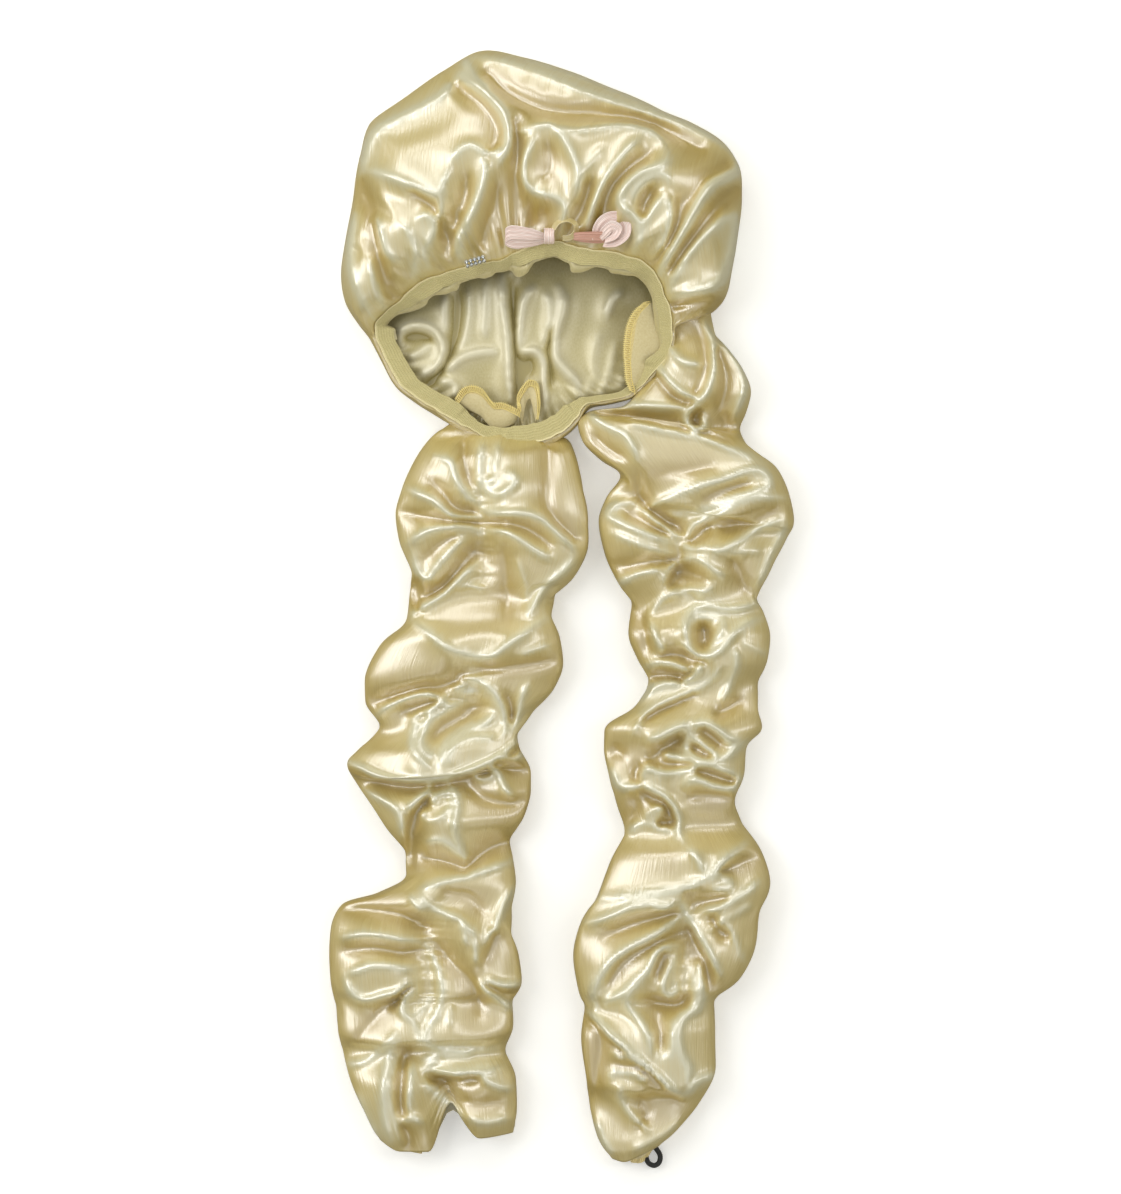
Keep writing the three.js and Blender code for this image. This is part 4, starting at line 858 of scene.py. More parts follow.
CROWN_MAP = fold_map(CROWN_FOLDS)
FLOOR_MAP = fold_map(FLOOR_FOLDS)
LEFT_MAP = fold_map(LEFT_FOLDS)
RIGHT_MAP = fold_map(RIGHT_FOLDS)


# Cap

# The directions of the cap's mesh columns, closer together where it is puffed
RAYS = np.concatenate(
    [np.linspace(2, 180, 192, endpoint=False), np.linspace(180, 362, 68, endpoint=False)]
)


def crown_section(degrees):
    """The cap's section in each direction, from smooth curves through the table."""
    return curve_through(CROWN_SECTIONS, "at", degrees, period=360)


def on_ray(degrees, radius, z):
    angle = np.radians(degrees)
    return np.stack([radius * np.cos(angle), radius * np.sin(angle), z + 0 * angle], axis=-1)


def puff_share(section):
    """0 beside the band's lower half and 1 where the cap is fully puffed."""
    return smooth(3, 16, section["puff"] - section["rim_z"] + 3) * smooth(
        10, 45, section["out"] - section["rim"]
    )


# The elastic band's inner edge, in pixels of the photograph
BAND_INSIDE = [
    (400, 330), (385, 325), (415, 305), (430, 297), (457, 283), (480, 277), (505, 267), (520, 268),
    (541, 261), (558, 259), (575, 266), (600, 270), (630, 274), (651, 290), (660, 330), (662, 345),
    (645, 362), (640, 380), (625, 390), (600, 395), (580, 398), (560, 408), (545, 415), (520, 425),
    (500, 427), (480, 422), (465, 408), (450, 395), (430, 383), (415, 365), (405, 345),
]


def around_opening(pixels, degrees):
    """How far from the opening's middle a closed line of the photograph runs in each direction."""
    points = from_photo(pixels)
    at = np.degrees(np.arctan2(points[:, 1], points[:, 0])) % 360
    order = np.argsort(at)
    rows = {"at": at[order], "radius": np.hypot(points[:, 0], points[:, 1])[order]}
    return curve_through(rows, "at", degrees, period=360)["radius"]


def band_section(degrees):
    """The band's outer radius and height, its width from above and its inner edge's drop."""
    section = crown_section(degrees)
    rim, rim_z = section["rim"], section["rim_z"]
    width = np.clip(rim - around_opening(BAND_INSIDE, degrees), 6.5, 13)
    drop = np.minimum(np.sqrt(np.maximum(BAND_WIDTH**2 - width**2, 4)), 0.22 * rim_z)
    return rim, rim_z, width, drop


def crown_rings():
    """The cap's rings, which lie up to 30 mm apart, and the number of mesh rings up to each."""
    section = crown_section(RAYS)
    rim, rim_z, width, drop = band_section(RAYS)
    out = section["out"]
    seam = rim - 0.8 * width
    rings = [on_ray(RAYS, seam, rim_z - 0.8 * drop - GAP), on_ray(RAYS, rim, rim_z - GAP)]
    for rho, low, high in zip(CROWN_RINGS["rho"], CROWN_RINGS["rim"], CROWN_RINGS["puff"]):
        z = low * (rim_z - GAP) + high * section["puff"]
        rings.append(on_ray(RAYS, rim + rho * (out - rim), z))
    under = rim + CROWN_RINGS["rho"][-1] * (out - rim)
    rings.append(on_ray(RAYS, (under + seam) / 2, 0))
    return np.array(rings), [2, *CROWN_RINGS["rings"], 3]


def between_rings(rings, counts):
    """Mesh rings on smooth curves through the given ones."""
    at = np.concatenate(
        [k + np.arange(count) / count for k, count in enumerate(counts)] + [[float(len(counts))]]
    )
    rows = {"k": np.arange(len(rings))}
    flat = rings.reshape(len(rings), -1)
    rows.update({i: flat[:, i] for i in range(flat.shape[1])})
    found = curve_through(rows, "k", at)
    return np.stack([found[i] for i in range(flat.shape[1])], axis=1).reshape(len(at), -1, 3), at


def cap_cloth():
    """Points of the cap from the band over the top and back under, and how firmly each is held."""
    points, at = between_rings(*crown_rings())
    section = crown_section(RAYS)
    x, y = points[..., 0], points[..., 1]
    rho = (np.hypot(x, y) - section["rim"]) / (section["out"] - section["rim"])
    upper = (at[:, None] > 1) & (at[:, None] < 10.5)
    share = puff_share(section)[None, :]
    near_band = smooth(0, 0.06, rho) * (1 - smooth(0.1, 0.5, rho))
    above = (1 - smooth(0.95, 1.0, rho)) * smooth(0.0, 0.1, rho)
    angle = np.radians(RAYS)[None, :]
    gathers = np.sin(38 * angle + 2.2 * np.sin(3 * angle + 1))
    gathers += 0.6 * np.sin(61 * angle + 3 * np.sin(2 * angle))
    lift = 1.6 * gathers * near_band + broad_folds(x, y, CROWN_MAP) * above
    points[..., 2] += np.where(upper, share * lift, 0)
    loose = smooth(0.02, 0.2, rho) * (1 - smooth(0.8, 1.0, rho)) * upper
    firm = np.where(upper, 0.7 - 0.62 * loose, 1) + 0 * x
    firm[:2] = 1
    return points, firm


BACK_COLUMNS = 96
BACK_ROWS = 76


def back_cloth():
    """Points of the back layer, a grid bent to the opening's shape, and how firmly each is held."""
    s, t = np.meshgrid(np.linspace(-1, 1, BACK_COLUMNS), np.linspace(-1, 1, BACK_ROWS))
    x, y = s * np.sqrt(1 - t * t / 2), t * np.sqrt(1 - s * s / 2)
    degrees = np.degrees(np.arctan2(y, x))
    section = crown_section(degrees)
    under = section["rim"] + CROWN_RINGS["rho"][-1] * (section["out"] - section["rim"])
    reach = np.hypot(x, y) * ((under + section["seam"]) / 2 + 3)
    gathers = np.sin(np.radians(47 * degrees) + 2 * np.sin(np.radians(4 * degrees)))
    x, y = reach * np.cos(np.radians(degrees)), reach * np.sin(np.radians(degrees))
    shown = 1 - smooth(0.86, 1.02, reach / section["rim"])
    near_band = smooth(0.62, 0.86, reach / section["rim"]) * smooth(-0.2, -0.6, y)
    relief = np.maximum(broad_folds(x, y, FLOOR_MAP), -2) + 2 + 1.3 * near_band * (1 + gathers)
    z = SATIN_THICKNESS + GAP + relief * shown
    edge = np.maximum(np.abs(s), np.abs(t))
    firm = np.where(edge > 0.96, 1, 0.35)
    return np.stack([x, y, z], axis=-1), firm


# Sleeves

SLEEVE_TOP = 52  # mesh points over the top of a sleeve
SLEEVE_FLOOR = 16  # and across its underside
SLEEVE_LENGTH = 176  # mesh rings along it
SLEEVE_SIDE = 0.36  # how high its sides stand, as a share of its top
NOTCH_WIDTH = 0.1  # of the groove that the gathering thread pulls in, as a share of its width
FULL_PINCH = 15  # that groove's depth where the cloth is fully gathered
SHIRR_RIPPLE = 2.2  # height of the tiny tucks along the gathering thread
SLEEVE_CRISP = 1.6  # the sleeves' small folds are sharper than the cap's, since they are shirred


def sleeve_cloth(sections, folds_map, hem_rows):
    """Points of a sleeve, ring by ring from the band to the hem, and how firmly each is held."""
    last = len(sections["lx"]) - 1
    at = np.linspace(0, last, SLEEVE_LENGTH)
    section = curve_through({"at": np.arange(last + 1), **sections}, "at", at)
    section = {name: values[:, None] for name, values in section.items()}
    angle = np.concatenate(
        [
            np.pi * np.arange(SLEEVE_TOP) / SLEEVE_TOP,
            np.pi * (1 + np.arange(SLEEVE_FLOOR) / SLEEVE_FLOOR),
        ]
    )[None, :]
    over = angle <= np.pi
    share = 0.5 - 0.5 * np.cos(angle)
    across = np.where(over, share, 0.5 + 0.97 * (share - 0.5))
    hem = curve_through(hem_rows, "at", share)["drop"] * smooth(last - 3, last, at)[:, None]
    x = section["lx"] + (section["rx"] - section["lx"]) * across
    y = section["ly"] + (section["ry"] - section["ly"]) * across - hem
    bulge = np.abs(np.sin(angle))
    side = SLEEVE_SIDE * section["top"]
    dome = side + (section["top"] - side) * bulge**0.7
    notch = (share - section["seam"]) / NOTCH_WIDTH
    relief = broad_folds(x, y, folds_map)
    row = np.arange(SLEEVE_LENGTH)[:, None]
    tuck = np.cos(np.pi * row) * (1 + 0.5 * np.sin(1.7 * row)) * np.exp(-((notch / 0.75) ** 2))
    gathers = SHIRR_RIPPLE * (section["pinch"] / FULL_PINCH) * tuck
    top = dome - section["pinch"] * np.exp(-(notch**2)) + bulge**0.6 * relief + gathers
    floor = np.maximum(0, side * (1 - 1.6 * bulge))
    z = np.where(over, top, floor)
    y = y - np.where(over, section["lean"] * bulge, 0)
    # The shirred line, both hems and the underside are held firmly, the rest of the top loosely.
    shirr = np.exp(-(notch**2) * 2) * (section["pinch"] / FULL_PINCH)
    firm = np.where(over, 0.12 + 0.7 * shirr, 0.5)
    firm[:4] = 1
    firm[-2:] = 0.8
    return np.stack([x, y, z], axis=-1), firm


SIMULATION_SCALE = 10  # the solver works best on cloth metres across
SIMULATION_FRAMES = 16
SOLVER_STEPS = 5  # in each frame


def draped(piece, firm, growth):
    """The cloth let go: it grows by a share of its size and buckles into folds of its own."""
    mesh = piece.data
    mesh.transform(Matrix.Scale(SIMULATION_SCALE, 4))
    held = piece.vertex_groups.new(name="held")
    for i, weight in enumerate(firm.ravel()):
        held.add([i], float(weight), "REPLACE")
    cloth = piece.modifiers.new("Drape", "CLOTH")
    settings = cloth.settings
    settings.quality = SOLVER_STEPS
    settings.mass = 0.15
    settings.tension_stiffness = settings.compression_stiffness = 20
    settings.shear_stiffness = 8
    settings.bending_stiffness = 6
    settings.air_damping = 2
    settings.vertex_group_mass = "held"
    settings.pin_stiffness = 6
    settings.shrink_min = settings.shrink_max = -growth
    settings.effector_weights.gravity = 0
    scene = bpy.context.scene
    scene.frame_start = 1
    scene.frame_end = SIMULATION_FRAMES
    for frame_number in range(1, SIMULATION_FRAMES + 1):
        scene.frame_set(frame_number)
    applied(piece)
    scene.frame_set(1)
    piece.vertex_groups.clear()
    piece.data.transform(Matrix.Scale(1 / SIMULATION_SCALE, 4))
    return piece


def finished_cloth(piece, thickness=SATIN_THICKNESS, sharpened=None, folds_map=None):
    """A fine smooth mesh with the cloth's thickness, its inner wall in the piece's second material.

    sharpened gives the height of each fine point from its place and the upward part of its normal.
    The folds' height is kept with each point, because the satin's colour is painted a deeper gold
    in its hollows as painted shade and paler on its crests as painted highlight.
    """
    fine = piece.modifiers.new("Fine", "SUBSURF")
    fine.levels = fine.render_levels = 1
    if sharpened:
        applied(piece)
        mesh = piece.data
        places = np.empty(len(mesh.vertices) * 3)
        normals = np.empty(len(mesh.vertices) * 3)
        mesh.vertices.foreach_get("co", places)
        mesh.vertex_normals.foreach_get("vector", normals)
        places = places.reshape(-1, 3)
        drawn = places / METRES - OPENING_MIDDLE
        places[:, 2] = METRES * np.maximum(sharpened(*drawn.T, normals[2::3]), 0)
        mesh.vertices.foreach_set("co", places.ravel())
        x, y, z = drawn.T
        # painted shade and highlight: the folds' height, sharp creases counted more, sets how dark
        # the satin is painted in its hollows and how pale on its crests
        depth = broad_folds(x, y, folds_map) + CREASE_SHADE * sharp_folds(x, y, folds_map)
        fold = mesh.attributes.new("fold", "FLOAT", "POINT")
        fold.data.foreach_set("value", depth - depth.mean())
        mesh.update()
    wall = piece.modifiers.new("Wall", "SOLIDIFY")
    wall.thickness = thickness * METRES
    wall.offset = -1
    wall.material_offset = len(piece.data.materials) - 1 if piece.data.materials else 0
    wall.use_even_offset = False
    return applied(piece)


def sharpened_cap(x, y, z, up):
    """The cap's height with its sharp folds, which fade out beside the band and on its sides."""
    section = crown_section(np.degrees(np.arctan2(y, x)))
    rho = (np.hypot(x, y) - section["rim"]) / (section["out"] - section["rim"])
    share = puff_share(section) * smooth(0.02, 0.12, rho) * smooth(0.05, 0.5, up)
    return z + share * sharp_folds(x, y, CROWN_MAP)


def sharpened_back(x, y, z, up):
    """The back's height with its sharp folds, which fade out where the band hides it."""
    section = crown_section(np.degrees(np.arctan2(y, x)))
    share = (1 - smooth(0.8, 0.98, np.hypot(x, y) / section["rim"])) * smooth(0.05, 0.5, np.abs(up))
    return np.maximum(z + share * sharp_folds(x, y, FLOOR_MAP), SATIN_THICKNESS + GAP)


def sharpened_sleeve(folds_map):
    """What gives a sleeve's height with its sharp folds, which fade out on its sides."""

    def sharpened(x, y, z, up):
        return z + SLEEVE_CRISP * smooth(0.05, 0.5, up) * sharp_folds(x, y, folds_map)

    return sharpened


# Materials


def linear(colour):
    """Linear RGBA for an sRGB hex colour."""
    shares = [int(colour[i : i + 2], 16) / 255 for i in (1, 3, 5)]
    return [*(c / 12.92 if c <= 0.04045 else ((c + 0.055) / 1.055) ** 2.4 for c in shares), 1]


def node(tree, kind, inputs=None, **settings):
    """A node with those settings and inputs, each a value or another node's output."""
    made = tree.nodes.new(kind)
    for name, value in settings.items():
        setattr(made, name, value)
    for socket, value in (inputs or {}).items():
        if isinstance(value, bpy.types.NodeSocket):
            tree.links.new(value, made.inputs[socket])
        else:
            made.inputs[socket].default_value = value
    return made


def new_material(name):
    made = bpy.data.materials.new(name)
    made.use_nodes = True
    made.node_tree.nodes.clear()
    return made, made.node_tree


def finish_material(made, looks):
    """The material with one surface of those looks."""
    shader = node(made.node_tree, "ShaderNodeBsdfPrincipled", looks)
    node(made.node_tree, "ShaderNodeOutputMaterial", {"Surface": shader.outputs[0]})
    return made


def calculated(tree, operation, first, second=0.0):
    return node(tree, "ShaderNodeMath", {0: first, 1: second}, operation=operation).outputs[0]


def ramp(tree, value, low, high, at_low=0.0, at_high=1.0):
    """at_low up to the low value, at_high from the high one on, and an even slope between them."""
    ends = {1: low, 2: high, 3: at_low, 4: at_high}
    return node(tree, "ShaderNodeMapRange", {"Value": value, **ends}).outputs[0]


def noise(tree, scale, detail=3.0):
    """Cloudy noise in the piece's own space, with that many clouds a metre."""
    place = node(tree, "ShaderNodeTexCoord")
    values = {"Vector": place.outputs["Object"], "Scale": scale, "Detail": detail}
    return node(tree, "ShaderNodeTexNoise", values).outputs["Fac"]


def thread_noise(tree, across, along):
    """Noise stretched along the threads, with that many streaks a metre each way."""
    place = node(tree, "ShaderNodeTexCoord")
    scaling = {"Vector": place.outputs["UV"], "Scale": (across, along, 1)}
    streaks = node(tree, "ShaderNodeMapping", scaling)
    values = {"Vector": streaks.outputs[0], "Scale": 1.0, "Detail": 2.0}
    return node(tree, "ShaderNodeTexNoise", values).outputs["Fac"]


def cloth_way(tree):
    """The place on the cloth in metres, as the two coordinates of its UV map."""
    place = node(tree, "ShaderNodeTexCoord")
    parts = node(tree, "ShaderNodeSeparateXYZ", {0: place.outputs["UV"]})
    return parts.outputs[0], parts.outputs[1]


def waves(tree, value, pitch):
    """Ribs of that pitch in metres, as heights from -1 to 1."""
    return calculated(tree, "SINE", calculated(tree, "MULTIPLY", value, 2 * math.pi / pitch))


def bumped(tree, height, strength, distance):
    values = {"Height": height, "Strength": strength, "Distance": distance}
    return node(tree, "ShaderNodeBump", values).outputs[0]


def blend_colours(tree, share, low, high):
    """The low colour at a share of 0 and the high one at 1."""
    mixed = node(tree, "ShaderNodeMix", {0: share, 6: low, 7: high}, data_type="RGBA")
    return mixed.outputs[2]


def fold_shade_and_highlight_colour(tree, mottle, deep, middle, pale):
    """Painted shade and highlight: deep gold painted in the hollows, where folds reflect in each
    other, and pale painted along the crests.
    """
    fold = node(tree, "ShaderNodeAttribute", attribute_name="fold")
    height = calculated(tree, "ADD", fold.outputs["Fac"], ramp(tree, mottle, 0.6, 1.4, -2.0, 2.0))
    body = blend_colours(tree, ramp(tree, height, -4.0, 0.5), linear(deep), linear(middle))
    return blend_colours(tree, ramp(tree, height, 0.5, 6.0), body, linear(pale))


def champagne_satin():
    """Polyester charmeuse: long floats of bright yarn, so folds flash from deep gold to near white.

    Its yarns lie 0.1 mm apart, too fine for the render, so the streaks are drawn 1.2 mm wide. They
    run through the gloss as well as the colour, which tells the eye that this is cloth, not glaze.
    """
    made, tree = new_material("champagne_polyester_satin")
    thread = thread_noise(tree, 830, 45)
    mottle = calculated(tree, "ADD", noise(tree, 9.0, 2.0), thread)
    bump = bumped(tree, thread, 0.5, 0.0005)
    tangent = node(tree, "ShaderNodeTangent", direction_type="UV_MAP", uv_map="cloth")
    return finish_material(
        made,
        {
            # C8B56A is the satin's own colour; #B49A3A in hollows and creases is painted shade,
            # #D2CDA6 along the crests is painted highlight
            "Base Color": fold_shade_and_highlight_colour(tree, mottle, "#B49A3A", "#C8B56A", "#D2CDA6"),
            "Roughness": 0.46,
            "IOR": 2.4,
            "Anisotropic": 0.5,
            "Sheen Weight": 0.08,
            "Sheen Roughness": 0.35,
            "Coat Weight": 1.0,
            "Coat IOR": 2.7,
            "Coat Roughness": 0.33,
            "Coat Normal": bump,
            "Normal": bump,
            "Tangent": tangent.outputs[0],
        },
    )


def satin_wrong_side():
    """The charmeuse's back: short floats of spun yarn, so it is dull, paler and a little grey."""
    made, tree = new_material("dull_back_of_polyester_satin")
    thread = thread_noise(tree, 900, 500)
    mottle = calculated(tree, "ADD", noise(tree, 14.0, 2.0), thread)
    return finish_material(
        made,
        {
            # C6BB88 is the back's own colour; #A89A5A in hollows and creases is painted shade,
            # #DAD3B2 along the crests is painted highlight
            "Base Color": fold_shade_and_highlight_colour(tree, mottle, "#A89A5A", "#C6BB88", "#DAD3B2"),
            "Metallic": 0.1,
            "Roughness": 0.45,
            "Sheen Weight": 0.2,
            "Sheen Roughness": 0.4,
            "Coat Weight": 0.8,
            "Coat IOR": 1.9,
            "Coat Roughness": 0.4,
            "Normal": bumped(tree, thread, 0.25, 0.0003),
        },
    )


def serged_satin():
    """The satin's dull side with its raw edge wrapped in thread: a yellower strip of fine bars.

    The bars lie 0.9 mm apart across a strip 4.2 mm wide, which is what the photograph shows.
    """
    made, tree = new_material("serged_edge_of_polyester_satin")
    along, inward = cloth_way(tree)
    fuzz = noise(tree, 700.0)
    bars = waves(tree, along, 0.0009)
    wrapped = ramp(tree, inward, 0.0038, 0.0044, 1.0, 0.0)
    thread = blend_colours(tree, ramp(tree, bars, -1.0, 1.0), linear("#C9AE5E"), linear("#F2E2A6"))
    cloth = blend_colours(tree, fuzz, linear("#BFAE78"), linear("#DACFA2"))
    colour = blend_colours(tree, wrapped, cloth, thread)
    height = calculated(tree, "ADD", calculated(tree, "MULTIPLY", bars, wrapped), fuzz)
    return finish_material(
        made,
        {
            "Base Color": colour,
            "Roughness": 0.5,
            "Sheen Weight": 0.3,
            "Coat Weight": 0.4,
            "Coat Roughness": 0.4,
            "Normal": bumped(tree, height, 0.5, 0.0004),
        },
    )


def knit_elastic():
    """Knitted polyester over rubber: matt, with fine ribs across it and a paler selvedge.

    The columns of stitches lie 0.6 mm apart on the real elastic and 1.1 mm apart here.
    """
    made, tree = new_material("knitted_polyester_elastic")
    across, along = cloth_way(tree)
    fuzz = noise(tree, 900.0)
    height = calculated(tree, "ADD", waves(tree, along, 0.0011), fuzz)
    body = blend_colours(tree, fuzz, linear("#B5AA70"), linear("#CEC491"))
    colour = blend_colours(tree, ramp(tree, across, 0.0098, 0.0112), body, linear("#EADFAF"))
    return finish_material(
        made,
        {
            "Base Color": colour,
            "Roughness": 0.8,
            "Sheen Weight": 0.3,
            "Sheen Roughness": 0.5,
            "Normal": bumped(tree, height, 0.35, 0.0003),
        },
    )


def overlock_thread():
    """Spun polyester sewing thread: soft and slightly hairy, its plies showing as fine lines."""
    made, tree = new_material("spun_polyester_thread")
    ply = noise(tree, 1600.0, 2.0)
    colour = blend_colours(tree, ply, linear("#D8C266"), linear("#F3E3A0"))
    bump = bumped(tree, ply, 0.4, 0.0002)
    return finish_material(
        made,
        {"Base Color": colour, "Roughness": 0.62, "Sheen Weight": 0.35, "Normal": bump},
    )


def pink_ribbon(name, dark, light):
    """Woven polyester ribbon: close ribs run along it, painted dark in the grooves as painted shade
    and pale on the floats as painted highlight.

    The ribs lie 0.3 mm apart on the real ribbon and 0.9 mm apart here.
    """
    made, tree = new_material(name)
    across = cloth_way(tree)[0]
    rib = waves(tree, across, 0.0009)
    # painted shade in the rib grooves and painted highlight on the floats, mixed with random
    # streaks along the ribbon
    mixed = calculated(tree, "MULTIPLY", ramp(tree, rib, -1.4, 1.2), thread_noise(tree, 1400, 120))
    colour = blend_colours(tree, ramp(tree, mixed, 0.05, 0.55), linear(dark), linear(light))
    return finish_material(
        made,
        {
            "Base Color": colour,
            "Metallic": 0.15,
            "Roughness": 0.38,
            "Sheen Weight": 0.3,
            "Normal": bumped(tree, rib, 0.3, 0.0002),
        },
    )


def rhinestone():
    """Foil-backed glass stone: each facet is a small mirror, so it is either white or dark."""
    made, tree = new_material("foil_backed_glass")
    colour = blend_colours(tree, noise(tree, 700.0, 2.0), linear("#DDE6EA"), linear("#FFFFFF"))
    return finish_material(
        made,
        {
            "Base Color": colour,
            "Metallic": 0.9,
            "Roughness": 0.06,
            "Coat Weight": 1.0,
            "Coat Roughness": 0.02,
        },
    )


def silver_cup():
    """Pressed and plated brass cup: grey silver, darkened in random patches."""
    made, tree = new_material("silver_plated_brass")
    wear = noise(tree, 500.0)
    colour = blend_colours(tree, wear, linear("#6E6F6C"), linear("#C4C5C2"))
    rough = ramp(tree, wear, 0.0, 1.0, 0.24, 0.45)
    return finish_material(
        made,
        {"Base Color": colour, "Metallic": 1.0, "Roughness": rough},
    )


def braided_elastic():
    """Black polyester braided over rubber: matt, in fine diamonds that catch thin lights."""
    made, tree = new_material("black_braided_elastic")
    place = node(tree, "ShaderNodeTexCoord")
    braid = node(
        tree,
        "ShaderNodeTexVoronoi",
        {"Vector": place.outputs["Object"], "Scale": 1400.0},
        distance="MANHATTAN",
    )
    # painted highlight: the braid is painted lighter along its diamonds' edges, where its raised
    # ridges catch light
    colour = blend_colours(tree, braid.outputs["Distance"], linear("#0B0B0C"), linear("#262627"))
    bump = bumped(tree, braid.outputs["Distance"], 0.6, 0.0003)
    return finish_material(
        made,
        {"Base Color": colour, "Roughness": 0.6, "Sheen Weight": 0.25, "Normal": bump},
    )


def pale_paper():
    """Smooth white background paper."""
    made, tree = new_material("white_background_paper")
    colour = blend_colours(tree, noise(tree, 40.0), linear("#F6F6F4"), linear("#F8F8F6"))
    return finish_material(
        made,
        {
            "Base Color": colour,
            "Roughness": 0.95,
            "Emission Color": linear("#FFFFFF"),
            "Emission Strength": 0.25,
        },
    )


satin = champagne_satin()
dull_satin = satin_wrong_side()
serged_edge = serged_satin()
knit = knit_elastic()
sewing_thread = overlock_thread()
rose_ribbon = pink_ribbon("salmon_woven_ribbon", "#C08672", "#E9BFAE")
pale_ribbon = pink_ribbon("blush_woven_ribbon", "#D9B5A8", "#FBF1EC")
stone = rhinestone()
silver = silver_cup()
black_elastic = braided_elastic()


def dress(piece, slot, *looks):
    """Give a finished piece its materials and its body. Its slot is not used."""
    piece.data.materials.clear()
    for look in looks:
        piece.data.materials.append(look)
    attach(piece, "root")
    return piece


# Paths, ribbons and threads


def resampled(path, count):
    """That many points, evenly spaced along a path."""
    walked = walked_along(path)
    at = np.linspace(0, walked[-1], count)
    return np.stack([np.interp(at, walked, column) for column in path.T], axis=1)


def line_piece(name, points, closed=False):
    """A mesh of joined points, for Geometry Nodes to sew or sweep along."""
    mesh = bpy.data.meshes.new(name)
    places = (points + OPENING_MIDDLE) * METRES
    last = len(points) - 1
    edges = [(i, i + 1) for i in range(last)]
    if closed:
        edges.append((last, 0))
    mesh.from_pydata(places.tolist(), edges, [])
    piece = bpy.data.objects.new(name, mesh)
    bpy.context.scene.collection.objects.link(piece)
    return piece


def store_vectors(piece, name, vectors):
    """Keep a vector with each point of the piece."""
    kept = piece.data.attributes.new(name, "FLOAT_VECTOR", "POINT")
    kept.data.foreach_set("vector", vectors.ravel())


def stored_vectors(tree, name):
    """The vectors that store_vectors kept."""
    kept = node(tree, "GeometryNodeInputNamedAttribute", {"Name": name}, data_type="FLOAT_VECTOR")
    return kept.outputs[0]


def node_tree(name, **sockets):
    """An empty Geometry Nodes tree with named inputs of the given kinds."""
    tree = bpy.data.node_groups.new(name, "GeometryNodeTree")
    tree.interface.new_socket("Geometry", in_out="INPUT", socket_type="NodeSocketGeometry")
    tree.interface.new_socket("Geometry", in_out="OUTPUT", socket_type="NodeSocketGeometry")
    for label, kind in sockets.items():
        tree.interface.new_socket(label, in_out="INPUT", socket_type=f"NodeSocket{kind}")
    return tree, node(tree, "NodeGroupInput")


def run_tree(piece, tree, **values):
    """The piece as the tree makes it from those inputs, as a plain mesh."""
    maker = piece.modifiers.new(tree.name, "NODES")
    maker.node_group = tree
    for item in tree.interface.items_tree:
        if item.in_out == "INPUT" and item.name in values:
            maker[item.identifier] = values[item.name]
    return applied(piece)


def swept(tree, curve, sides, radius):
    """A capped round cord along a curve."""
    circle = {"Resolution": sides, "Radius": radius}
    section = node(tree, "GeometryNodeCurvePrimitiveCircle", circle)
    values = {"Curve": curve, "Profile Curve": section.outputs[0], "Fill Caps": True}
    return node(tree, "GeometryNodeCurveToMesh", values).outputs[0]


def joined(tree, *shapes):
    both = node(tree, "GeometryNodeJoinGeometry")
    for shape in shapes:
        tree.links.new(shape, both.inputs[0])
    return both.outputs[0]


def painted(tree, shape, look):
    return node(tree, "GeometryNodeSetMaterial", {"Geometry": shape, "Material": look}).outputs[0]


def finish_tree(tree, shape):
    """The tree with that shape as its result, its copies made real."""
    real = node(tree, "GeometryNodeRealizeInstances", {"Geometry": shape})
    node(tree, "NodeGroupOutput", {0: real.outputs[0]})
    return tree


def overlock_tree():
    """Serging: threads slanting over the edge, a looper thread on it and a needle thread inside."""
    tree, given = node_tree(
        "overlock_stitches", Spacing="Float", Reach="Float", Thread="Float", Look="Material"
    )
    path = node(tree, "GeometryNodeMeshToCurve", {"Mesh": given.outputs["Geometry"]})
    even = node(
        tree,
        "GeometryNodeResampleCurve",
        {"Curve": path.outputs[0], "Length": given.outputs["Spacing"]},
        mode="LENGTH",
    )
    inward = stored_vectors(tree, "inward")
    up = stored_vectors(tree, "up")
    point_in = node(tree, "FunctionNodeAlignRotationToVector", {"Vector": inward}, axis="X")
    turned = node(
        tree,
        "FunctionNodeAlignRotationToVector",
        {"Rotation": point_in.outputs[0], "Vector": up},
        axis="Z",
        pivot_axis="X",
    )
    over = calculated(tree, "MULTIPLY", given.outputs["Reach"], 0.35)
    lean = calculated(tree, "MULTIPLY", given.outputs["Spacing"], 0.7)
    rise = calculated(tree, "MULTIPLY", given.outputs["Thread"], 5.0)
    sink = calculated(tree, "MULTIPLY", given.outputs["Thread"], -3.0)
    outside = node(tree, "ShaderNodeCombineXYZ", {0: sink, 2: sink})
    above = node(tree, "ShaderNodeCombineXYZ", {0: over, 2: rise})
    inside = node(tree, "ShaderNodeCombineXYZ", {0: given.outputs["Reach"], 1: lean})
    stitch = node(
        tree,
        "GeometryNodeCurveQuadraticBezier",
        {
            "Resolution": 5,
            "Start": outside.outputs[0],
            "Middle": above.outputs[0],
            "End": inside.outputs[0],
        },
    )
    loop = swept(tree, stitch.outputs[0], 6, given.outputs["Thread"])
    sewn = node(
        tree,
        "GeometryNodeInstanceOnPoints",
        {"Points": even.outputs[0], "Instance": loop, "Rotation": turned.outputs[0]},
    )
    looper = swept(tree, even.outputs[0], 6, given.outputs["Thread"])
    shift = node(
        tree,
        "ShaderNodeVectorMath",
        {0: inward, "Scale": given.outputs["Reach"]},
        operation="SCALE",
    )
    beside = node(
        tree,
        "GeometryNodeSetPosition",
        {"Geometry": even.outputs[0], "Offset": shift.outputs[0]},
    )
    needle = swept(tree, beside.outputs[0], 6, given.outputs["Thread"])
    threads = joined(tree, sewn.outputs[0], looper, needle)
    return finish_tree(tree, painted(tree, threads, given.outputs["Look"]))


